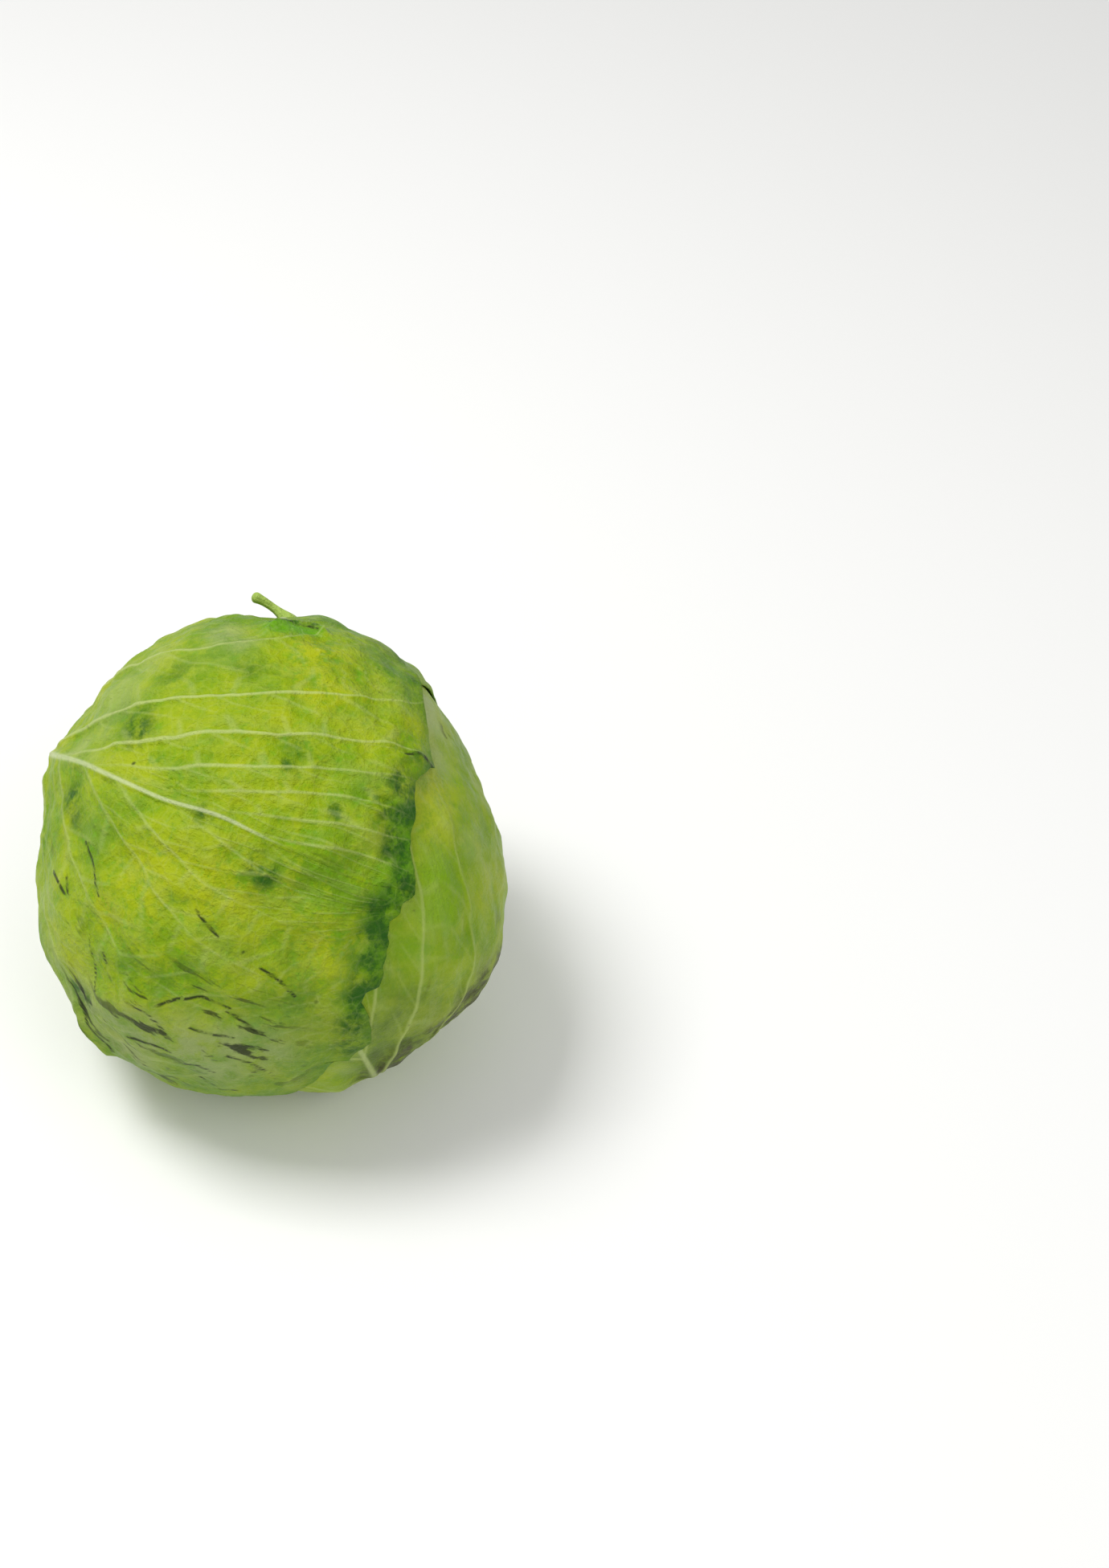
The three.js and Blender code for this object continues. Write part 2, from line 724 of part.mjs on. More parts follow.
// The stub of the stem: a cone between the leaf stalks, cut flat, with a dished pith
function stemGeometry() {
  const slope = Math.tan(STEM_CONE * DEGREE);
  const endRadius = STEM_END * slope;
  const profile = [
    new THREE.Vector2(0, STEM_TOP),
    new THREE.Vector2(STEM_TOP * slope, STEM_TOP),
    new THREE.Vector2((STEM_END - STEM_EDGE_ROUND) * slope, STEM_END - STEM_EDGE_ROUND),
    new THREE.Vector2(endRadius - STEM_EDGE_ROUND, STEM_END),
    new THREE.Vector2(STEM_PITH_RADIUS, STEM_END),
    new THREE.Vector2(STEM_PITH_RADIUS - STEM_PITH_DEPTH, STEM_END - STEM_PITH_DEPTH),
    new THREE.Vector2(0, STEM_END - STEM_PITH_DEPTH),
  ];
  const geometry = new THREE.LatheGeometry(profile, STEM_SIDES);
  return geometry.rotateX(-Math.PI / 2);
}

function toSolid(geometry) {
  const bare = geometry.clone();
  bare.deleteAttribute('normal');
  bare.deleteAttribute('uv');
  const merged = mergeVertices(bare, WELD_DISTANCE);
  return new wasm.Manifold(new wasm.Mesh({
    numProp: 3,
    vertProperties: new Float32Array(merged.getAttribute('position').array),
    triVerts: new Uint32Array(merged.getIndex().array),
  }));
}

function toGeometry(solid) {
  const mesh = solid.getMesh();
  const geometry = new THREE.BufferGeometry();
  geometry.setAttribute('position', new THREE.BufferAttribute(mesh.vertProperties, 3));
  geometry.setIndex(new THREE.BufferAttribute(mesh.triVerts, 1));
  return geometry;
}

// The torn stalk grows out of the top leaf and ends in a rounded knob
function addTornStalk(leaf, geometry) {
  const still = { rib: 0, quilt: 0, wave: 0 };
  const root = leafRadii(leaf, fromCrown(...STALK_PATH[0]), still).outer;
  const points = STALK_PATH.map(([bearing, arc, rise]) => (
    fromCrown(bearing, arc).multiplyScalar(root + rise)));
  const circle = new THREE.Shape();
  circle.absarc(0, 0, STALK_RADIUS, 0, 2 * Math.PI);
  const stalk = new THREE.ExtrudeGeometry(circle, {
    steps: STALK_STEPS,
    curveSegments: STALK_SIDES,
    extrudePath: new THREE.CatmullRomCurve3(points),
  });
  const knob = new THREE.SphereGeometry(STALK_KNOB_RADIUS, STALK_SIDES, STALK_SIDES / 2);
  const end = points[points.length - 1];
  knob.translate(end.x, end.y, end.z);
  return toGeometry(toSolid(geometry).add(toSolid(stalk)).add(toSolid(knob)));
}

function namedMesh(name, geometry, colour, roughness) {
  const material = new THREE.MeshStandardMaterial({ color: colour, roughness, metalness: 0 });
  const mesh = new THREE.Mesh(geometry, material);
  mesh.name = name;
  return mesh;
}

const head = new THREE.Group();
head.add(namedMesh('inner_head', heartGeometry(), HEART_COLOUR, HEART_ROUGHNESS));
head.add(namedMesh('cut_stem', stemGeometry(), STEM_COLOUR, STEM_ROUGHNESS));
leaves.forEach((leaf) => {
  const blade = leafGeometry(leaf);
  const geometry = leaf.name === 'wrapper_leaf_top' ? addTornStalk(leaf, blade) : blade;
  head.add(namedMesh(leaf.name, geometry, leaf.colour, LEAF_ROUGHNESS));
});
head.rotation.x = (90 - CROWN_ELEVATION) * DEGREE;
head.position.z = MIDDLE_HEIGHT;

const cabbage = new THREE.Group();
cabbage.add(head);

export default cabbage;
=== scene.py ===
"""A head of green cabbage with its wrapper leaves, dressed for looks.

The head is shaped upright in millimetres, with its crown at +Z and its cut stem at -Z, and
then tilted to the way it lies. The inner head and every leaf are a radius over a direction
from the middle of the head. A direction is named by its bearing round the axis and its arc
down from the crown, or on a leaf by its place along the midrib from the stem and across it.
"""

import logging
import math
from dataclasses import dataclass, field
from enum import Enum

import bpy
import numpy as np
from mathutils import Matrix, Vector


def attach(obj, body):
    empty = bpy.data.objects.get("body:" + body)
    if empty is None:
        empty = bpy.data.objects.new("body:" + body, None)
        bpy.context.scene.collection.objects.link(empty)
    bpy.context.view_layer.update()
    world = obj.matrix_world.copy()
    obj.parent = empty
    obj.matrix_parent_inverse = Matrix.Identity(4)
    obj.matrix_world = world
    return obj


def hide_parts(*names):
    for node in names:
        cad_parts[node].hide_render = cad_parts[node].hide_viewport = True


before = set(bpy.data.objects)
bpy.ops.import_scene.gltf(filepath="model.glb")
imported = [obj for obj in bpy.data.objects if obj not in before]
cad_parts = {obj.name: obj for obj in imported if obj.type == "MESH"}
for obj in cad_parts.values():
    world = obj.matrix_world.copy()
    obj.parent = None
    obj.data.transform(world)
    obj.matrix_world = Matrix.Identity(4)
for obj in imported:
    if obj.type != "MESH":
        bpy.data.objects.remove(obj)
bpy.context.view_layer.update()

log = logging.getLogger("cabbage")
Array = np.ndarray

MM = 0.001
TYPICAL_RADIUS = 86.0
FRONT_BEARING = 270.0
LEAF_THICKNESS = 1.1
MARGIN_THICKNESS = 0.75
MARGIN_THIN_BAND = 12.0
MARGIN_SLANT = 0.9
EDGE_BULGE = 0.45
CHART_COLUMN = 20
LEAF_GAP = 1.7
PITCH = LEAF_THICKNESS + LEAF_GAP
COVER_REACH = 4.0
COVER_FALL = 16.0
COVER_FULL_ARC = 60.0
COVER_TIGHTEST = 0.4
MIDRIB_ALONG = (15, 60, 90, 120, 160, 210)
MIDRIB_HEIGHTS = (5.5, 3.8, 1.6, 1.4, 1.0, 0.4)
TENT_HEIGHTS = (1.6, 1.8, 1, 0.8, 0.4, 0)
TENT_HALF_WIDTH = 20.0
RIDGE_HALF_WIDTHS = (9.5, 6, 3.2, 2.0, 1.6, 1.2)
CREST_SHARE = 0.5
CREST_ENDS = (165.0, 190.0)
MIDRIB_WANDER = 0.5
BEHIND_LEAF = 270.0
PALE_FROM_STEM = 20.0
GREEN_FROM_STEM = 66.0
CENTRE_ALONG = 100.0
CHART_LIMIT = -0.95
OUTLINE_ROWS = 72
FINE_STEPS = 40
SPACING_SHARES = (0.35, 0.7, 1.0)
SPACING_EVENNESS = 0.25
TINY = 1e-6
NO_LIMIT = 1e6


def normalise(vectors: Array) -> Array:
    """Divides each vector by its length."""
    return vectors / np.linalg.norm(vectors, axis=-1, keepdims=True)


def from_crown(bearing: Array | float, arc: Array | float) -> Array:
    """Unit vectors at a bearing round the axis and an arc down from the crown.

    Args:
        bearing: degrees round the axis.
        arc: degrees down from the crown.

    Returns:
        (sin arc cos bearing, sin arc sin bearing, cos arc), stacked on the last axis.
    """
    turn, polar = np.radians(bearing), np.radians(arc)
    flat = np.sin(polar)
    return np.stack(
        [flat * np.cos(turn), flat * np.sin(turn), np.cos(polar) * np.ones_like(turn)], axis=-1
    )


def smooth_step(low: float, high: float, value: Array) -> Array:
    """0 below low, 1 above high, and the cubic 3t^2 - 2t^3 between them."""
    t = np.clip((value - low) / (high - low), 0, 1)
    return t * t * (3 - 2 * t)


def smooth_min(first: Array, second: Array, blend: float) -> Array:
    """The smaller of two values, rounded over where they are within blend of each other."""
    near = np.maximum(blend - np.abs(first - second), 0) / blend
    return np.minimum(first, second) - near * near * blend / 4


def bell(distance: Array, width: Array) -> Array:
    """The bell curve exp(-(distance/width)^2)."""
    return np.exp(-((distance / width) ** 2))


def run_distance(directions: Array, corners: Array) -> Array:
    """How far directions are from a line.

    Args:
        directions: unit vectors.
        corners: unit vectors, the corners of the line.

    Returns:
        Millimetres to the nearest point of the straight runs between the corners.
    """
    smallest = np.full(directions.shape[:-1], np.inf)
    for start, end in zip(corners[:-1], corners[1:]):
        span = end - start
        share = np.clip((directions - start) @ span / max(span @ span, TINY**2), 0, 1)
        gap = directions - start - share[..., None] * span
        smallest = np.minimum(smallest, np.einsum("...i,...i", gap, gap))
    return np.sqrt(smallest) * TYPICAL_RADIUS


def spline_weights(t: Array) -> list[Array]:
    """The four Catmull-Rom weights.

    Args:
        t: share of a span.

    Returns:
        Weights of the guides before, at the start, at the end and after.
    """
    return [
        (-t + 2 * t**2 - t**3) / 2,
        (2 - 5 * t**2 + 3 * t**3) / 2,
        (t + 4 * t**2 - 3 * t**3) / 2,
        (-(t**2) + t**3) / 2,
    ]


def guide_direction(guides: Array, place: Array) -> Array:
    """A smooth curve of directions through guide directions.

    Args:
        guides: unit vectors, one a row.
        place: places counted in guides.

    Returns:
        Catmull-Rom sums of the four guides round each place, made unit length.
    """
    last = len(guides) - 1
    first = np.clip(np.floor(place).astype(int), 0, last - 1)
    total = np.zeros((*place.shape, 3))
    for step, weight in enumerate(spline_weights(place - first)):
        total += weight[..., None] * guides[np.clip(first - 1 + step, 0, last)]
    return normalise(total)


@dataclass(frozen=True)
class Ripple:
    """Smooth random relief: the sum of plane sine waves in random directions.

    Args:
        wavelength: middle wavelength in millimetres.
        seed: seed of the random draw.
        count: number of waves.
    """

    wavelength: float
    seed: int
    count: int = 24

    def at(self, points: Array) -> Array:
        """The relief at points.

        Args:
            points: points in millimetres.

        Returns:
            Values of about -2 to 2.
        """
        rng = np.random.default_rng(self.seed)
        directions = normalise(rng.normal(size=(self.count, 3)))
        lengths = self.wavelength * rng.uniform(0.7, 1.5, self.count)
        phases = rng.uniform(0, 2 * np.pi, self.count)
        total = np.zeros(points.shape[:-1])
        for direction, length, phase in zip(directions, lengths, phases):
            total += np.sin(points @ direction * (2 * np.pi / length) + phase)
        return total * math.sqrt(2 / self.count)


BROAD_LUMPS, SMALL_LUMPS = Ripple(48, 71), Ripple(21, 73)
MIDRIB_BENDS = Ripple(40, 51)
RIB_BENDS = (Ripple(34, 21), Ripple(34, 22))
VEIN_BENDS = Ripple(34, 33)
BROAD_PUCKERS, SMALL_PUCKERS = Ripple(15, 41), Ripple(5.5, 43)
BROAD_FOLDS, SMALL_FOLDS = Ripple(19, 81), Ripple(9.5, 83)
BROAD_FRAY, SMALL_FRAY, FIRST_FRAY_SEED = 11, Ripple(4, 9), 5
STEM_FIBRES, STEM_GRAIN = Ripple(7, 61), Ripple(3, 63)


@dataclass(frozen=True)
class HeadForm:
    """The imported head: a blunt spheroid with a lobed rim that lies on a flat spot."""

    crown_elevation: float = 48.0
    middle_height: float = 74.0
    crown_height: float = 77.0
    stem_depth: float = 62.0
    bluntness: float = 2.2
    flat_softness: float = 6.0
    side_of_floor: float = 0.3
    lumps: float = 0.45
    small_lumps: float = 0.45
    fold_place: tuple[float, float] = (77.0, 83.0)
    fold_height: float = 4.2
    fold_width: float = 13.0
    rim_radii: tuple[float, ...] = (
        79, 75.5, 81.5, 83.5, 82.5, 77.5, 79, 83.5, 83.5, 81.5, 83, 86.5
    )

    def down(self, directions: Array) -> Array:
        """How far each direction points at the floor, as a cosine."""
        return directions @ from_crown(FRONT_BEARING, 90 + self.crown_elevation)

    def rim_radius(self, bearing: Array) -> Array:
        """The rim, Catmull-Rom through radii at even bearings round the axis.

        Args:
            bearing: degrees round the axis.

        Returns:
            Millimetres from the axis.
        """
        count = len(self.rim_radii)
        place = (bearing % 360) / (360 / count)
        first = np.floor(place).astype(int)
        radii = np.array(self.rim_radii)
        weights = spline_weights(place - first)
        return sum(w * radii[(first - 1 + i) % count] for i, w in enumerate(weights))

    def packed(self, directions: Array, layer_count: Array) -> Array:
        """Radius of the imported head.

        Args:
            directions: unit vectors.
            layer_count: how many leaves lie over each direction.

        Returns:
            The superellipse ((flat/rim)^n + (height/h)^n)^(-1/n), with random lumps and the
            bell of one fold, rounded into the plane of the floor less the leaves' thickness.
        """
        flat = np.hypot(directions[..., 0], directions[..., 1])
        rim = self.rim_radius(np.degrees(np.arctan2(directions[..., 1], directions[..., 0])))
        height = np.where(directions[..., 2] > 0, self.crown_height, self.stem_depth)
        total = (flat / rim) ** self.bluntness
        total += (np.abs(directions[..., 2]) / height) ** self.bluntness
        radius = total ** (-1 / self.bluntness)
        spot = directions * TYPICAL_RADIUS
        lumps = BROAD_LUMPS.at(spot) + self.small_lumps * SMALL_LUMPS.at(spot)
        radius = radius + self.lumps * lumps
        centre = from_crown(*self.fold_place) * TYPICAL_RADIUS
        from_fold = np.linalg.norm(spot - centre, axis=-1)
        radius = radius + self.fold_height * bell(from_fold, self.fold_width)
        down = self.down(directions)
        towards = down > self.side_of_floor
        floor = (self.middle_height - layer_count * PITCH) / np.where(towards, down, 1)
        return np.where(towards, smooth_min(radius, floor, self.flat_softness), radius)

    def floor_limit(self, directions: Array, depth: Array) -> Array:
        """How far out a surface may go.

        Args:
            directions: unit vectors.
            depth: millimetres that it stays over the floor.

        Returns:
            The largest radius.
        """
        down = self.down(directions)
        towards = down > self.side_of_floor
        floor = (self.middle_height - depth) / np.where(towards, down, 1)
        return np.where(towards, floor, NO_LIMIT)

    def to_room(self, points: Array) -> Array:
        """Turns points about X to the lie of the head and lifts them.

        Args:
            points: upright points in millimetres.

        Returns:
            Points in the room in metres.
        """
        tilt = math.radians(90 - self.crown_elevation)
        x, y, z = points[..., 0], points[..., 1], points[..., 2]
        turned_y = y * math.cos(tilt) - z * math.sin(tilt)
        turned_z = y * math.sin(tilt) + z * math.cos(tilt) + self.middle_height
        return np.stack([x, turned_y, turned_z], axis=-1) * MM


@dataclass(frozen=True)
class Half:
    """One half of a leaf blade.

    Args:
        turn: 1 or -1, the side of the midrib.
        ribs: for each rib the two places (along, across) that it passes, a third and two
            thirds of the way out.
        margin: corners of the outline (rib count, bearing, arc), or (rib count, along,
            across) where on_leaf is set.
        on_leaf: how the corners are named.
    """

    turn: int
    ribs: tuple[tuple[tuple[float, float], tuple[float, float]], ...]
    margin: tuple[tuple[float, float, float], ...]
    on_leaf: bool = True


@dataclass
class LeafShape:
    """Where one wrapper leaf lies on the head, and how its ribs and outline run.

    Args:
        name: name of its solid.
        bearing: degrees round the axis where its midrib lies.
        lean: degrees that the midrib leans to one side.
        wave: height of the margin's waves in millimetres.
        starts: degrees from the stem where the ribs leave the midrib, with both ends.
        tip: the last row's two places (along, across).
        halves: its halves, turned 1 and -1.
        rows: rows of the grid from the stem to the tip.
        columns: columns from the midrib to the margin.
        frayed: how strongly its margin is frayed.
        rib_strength: how strong the ribs of each half are.
        vein_height: height of its side veins in millimetres.
    """

    name: str
    bearing: float
    lean: float
    wave: float
    starts: tuple[float, ...]
    tip: tuple[tuple[float, float], tuple[float, float]]
    halves: tuple[Half, Half]
    rows: int
    columns: int
    frayed: float = 1.0
    rib_strength: tuple[float, float] = (1.0, 1.0)
    vein_height: float = 0.2
    cover_grid: Array = field(init=False, repr=False)

    def __post_init__(self) -> None:
        """Works out the leaf's frame, its guide directions and its outline."""
        lean = math.radians(self.lean)
        crown = np.array([0.0, 0.0, 1.0])
        flat_side = from_crown(self.bearing + 90, 90)
        self.outward = from_crown(self.bearing, 90)
        self.side = flat_side * math.cos(lean) + crown * math.sin(lean)
        self.up = crown * math.cos(lean) - flat_side * math.sin(lean)
        self.middle = np.array([self.on_leaf(place, 0) for place in self.starts])
        self.near = [self._rib_guides(half, 0) for half in self.halves]
        self.far = [self._rib_guides(half, 1) for half in self.halves]
        self.margins = [self._margin_guides(half) for half in self.halves]
        self.count = len(self.starts) - 1

    def on_leaf(self, along: float, across: float) -> Array:
        """The direction of a place on the leaf.

        Args:
            along: degrees along the midrib from the stem.
            across: degrees across from the midrib.

        Returns:
            cos across (sin along outward - cos along up) + sin across side.
        """
        a, b = np.radians(along), np.radians(across)
        spine = -math.cos(a) * self.up + math.sin(a) * self.outward
        return math.cos(b) * spine + math.sin(b) * self.side

    def _rib_guides(self, half: Half, which: int) -> Array:
        """Guide directions of a half's ribs at one of their two places, tip last."""
        guides = [self.on_leaf(rib[which][0], half.turn * rib[which][1]) for rib in half.ribs]
        return np.array([*guides, self.on_leaf(*self.tip[which])])

    def _margin_guides(self, half: Half) -> tuple[Array, Array]:
        """The corners of a half's outline.

        Args:
            half: the half.

        Returns:
            Their places in ribs, and their directions.
        """
        places = np.array([corner[0] for corner in half.margin], float)
        if half.on_leaf:
            corners = [self.on_leaf(a, half.turn * b) for _, a, b in half.margin]
        else:
            corners = [from_crown(a, b) for _, a, b in half.margin]
        return places, np.array(corners)

    def margin_direction(self, side: int, place: Array) -> Array:
        """Straight runs between the corners of a half's outline.

        Args:
            side: the half.
            place: places in ribs.

        Returns:
            Unit vectors.
        """
        places, corners = self.margins[side]
        parts = [np.interp(place, places, corners[:, axis]) for axis in range(3)]
        return normalise(np.stack(parts, axis=-1))

    def blade(self, side: int, place: Array, share: Array) -> Array:
        """Directions on a half of the blade.

        Args:
            side: 0 or 1, the half.
            place: places counted in ribs from the stem to the tip.
            share: shares of the way from the midrib to the margin.

        Returns:
            Unit vectors: the cubic in the share that passes the midrib, the two rib guides
            and the margin at 0, 1/3, 2/3 and 1.
        """
        t = share * 3
        weights = [
            -(t - 1) * (t - 2) * (t - 3) / 6,
            t * (t - 2) * (t - 3) / 2,
            -t * (t - 1) * (t - 3) / 2,
            t * (t - 1) * (t - 2) / 6,
        ]
        points = [
            guide_direction(self.middle, place),
            guide_direction(self.near[side], place),
            guide_direction(self.far[side], place),
            self.margin_direction(side, place),
        ]
        return normalise(sum(w[..., None] * p for w, p in zip(weights, points)))

    def row_places(self, rows: int) -> Array:
        """Rows spread by the mean distance between neighbouring ribs.

        Args:
            rows: number of rows.

        Returns:
            Their places in ribs.
        """
        fine = np.linspace(0, self.count, self.count * FINE_STEPS + 1)
        gap = np.zeros(len(fine) - 1)
        for side in (0, 1):
            for share in SPACING_SHARES:
                line = self.blade(side, fine, np.full_like(fine, share))
                gap += np.linalg.norm(np.diff(line, axis=0), axis=-1)
        gap += gap.mean() * SPACING_EVENNESS
        travelled = np.concatenate([[0], np.cumsum(gap)])
        return np.interp(np.linspace(0, travelled[-1], rows + 1), travelled, fine)

    def outline(self) -> Array:
        """The outline as a loop of directions, from the stem round the tip and back."""
        places = self.row_places(OUTLINE_ROWS)
        first = self.margin_direction(0, places)
        second = self.margin_direction(1, places)[::-1][1:]
        return np.concatenate([first, second])

    def chart(self, directions: Array) -> Array:
        """Stereographic chart about the leaf's centre.

        Args:
            directions: unit vectors.

        Returns:
            Two coordinates for each direction.
        """
        centre = self.on_leaf(CENTRE_ALONG, 0)
        forward = np.cross(self.side, centre)
        scale = 1 / (1 + directions @ centre)
        return np.stack([directions @ self.side, directions @ forward], axis=-1) * scale[..., None]

    def outline_distance(self, directions: Array) -> Array:
        """How far directions are from the outline.

        Args:
            directions: unit vectors.

        Returns:
            Millimetres, below zero inside it.
        """
        loop = self.outline()
        distance = run_distance(directions, loop)
        return np.where(self._inside(directions, loop), -distance, distance)

    def _inside(self, directions: Array, loop: Array) -> Array:
        """Whether directions are inside the outline, by crossings in the chart.

        Args:
            directions: unit vectors.
            loop: corners of the outline.

        Returns:
            True or false for each direction.
        """
        centre = self.on_leaf(CENTRE_ALONG, 0)
        facing = directions @ centre > CHART_LIMIT
        safe = np.where(facing[..., None], directions, centre)
        x, y = np.moveaxis(self.chart(safe), -1, 0)
        corners = self.chart(loop)
        inside = np.zeros(x.shape, bool)
        for (ax, ay), (bx, by) in zip(corners, np.roll(corners, -1, axis=0)):
            if ay == by:
                continue
            crossing = (bx - ax) * (y - ay) / (by - ay) + ax
            inside ^= ((ay > y) != (by > y)) & (x < crossing)
        return inside & facing

    def cover_exact(self, directions: Array) -> Array:
        """How far the leaf's layer counts.

        Args:
            directions: unit vectors.

        Returns:
            1 under it, falling to 0 past its margin.
        """
        from_stem = np.degrees(np.arccos(np.clip(-directions[..., 2], -1, 1)))
        tight = np.clip(from_stem / COVER_FULL_ARC, COVER_TIGHTEST, 1)
        distance = self.outline_distance(directions) / tight
        return 1 - smooth_step(COVER_REACH, COVER_REACH + COVER_FALL, distance)

    def map_cover(self) -> None:
        """Works the cover out once, at every degree of bearing and arc."""
        bearing, arc = np.meshgrid(np.arange(361.0), np.arange(181.0))
        self.cover_grid = self.cover_exact(from_crown(bearing, arc))

    def cover(self, directions: Array) -> Array:
        """The mapped cover, read between its degrees by straight runs.

        Args:
            directions: unit vectors.

        Returns:
            Values from 0 to 1.
        """
        bearing = np.degrees(np.arctan2(directions[..., 1], directions[..., 0])) % 360
        arc = np.degrees(np.arccos(np.clip(directions[..., 2], -1, 1)))
        i, j = np.minimum(arc.astype(int), 179), np.minimum(bearing.astype(int), 359)
        s, t = arc - i, bearing - j
        grid = self.cover_grid
        upper = grid[i, j] * (1 - t) + grid[i, j + 1] * t
        lower = grid[i + 1, j] * (1 - t) + grid[i + 1, j + 1] * t
        return upper * (1 - s) + lower * s

    def midrib_place(self, directions: Array) -> tuple[Array, Array]:
        """Where directions lie from the midrib.

        Args:
            directions: unit vectors.

        Returns:
            Millimetres across, and degrees along it from the stem.
        """
        across = np.arcsin(np.clip(directions @ self.side, -1, 1)) * TYPICAL_RADIUS
        along = np.degrees(np.arctan2(directions @ self.outward, -(directions @ self.up))) % 360
        return across, along

    def tent(self, directions: Array) -> Array:
        """How far the thick midrib lifts the blade off what it lies on.

        Args:
            directions: unit vectors.

        Returns:
            Millimetres.
        """
        across, along = self.midrib_place(directions)
        height = np.interp(along, MIDRIB_ALONG, TENT_HEIGHTS)
        return np.where(along > BEHIND_LEAF, 0, height * bell(across, TENT_HALF_WIDTH))

    def midrib(self, directions: Array) -> tuple[Array, Array, Array]:
        """The midrib's ridge, a bell curve across it.

        Args:
            directions: unit vectors.

        Returns:
            Its height over the blade, its mask, and the mask of its pale crest.
        """
        across, along = self.midrib_place(directions)
        across = across + MIDRIB_WANDER * MIDRIB_BENDS.at(directions * TYPICAL_RADIUS)
        width = np.interp(along, MIDRIB_ALONG, RIDGE_HALF_WIDTHS)
        height = np.interp(along, MIDRIB_ALONG, MIDRIB_HEIGHTS)
        mask = np.where(along > BEHIND_LEAF, 0, bell(across, width))
        crest = np.where(along > BEHIND_LEAF, 0, bell(across, width * CREST_SHARE))
        return height * mask, mask, crest * (1 - smooth_step(*CREST_ENDS, along))


HIDDEN_STARTS = (15, 28, 44, 62, 82, 102, 122, 142)
HIDDEN_TIP = ((150, 0), (157, 0))
HIDDEN_RIBS = (
    ((16, 3.5), (17, 7)),
    ((33, 13), (37, 25)),
    ((52, 20), (57, 38)),
    ((73, 24), (80, 46)),
    ((95, 22), (105, 43)),
    ((116, 16), (127, 31)),
    ((134, 9), (144, 18)),
)
HIDDEN_MARGIN = (
    (0, 17.5, 10), (1, 40, 37), (2, 60, 56), (3, 84, 66),
    (4, 112, 62), (5, 136, 46), (6, 153, 27), (7, 164, 0),
)


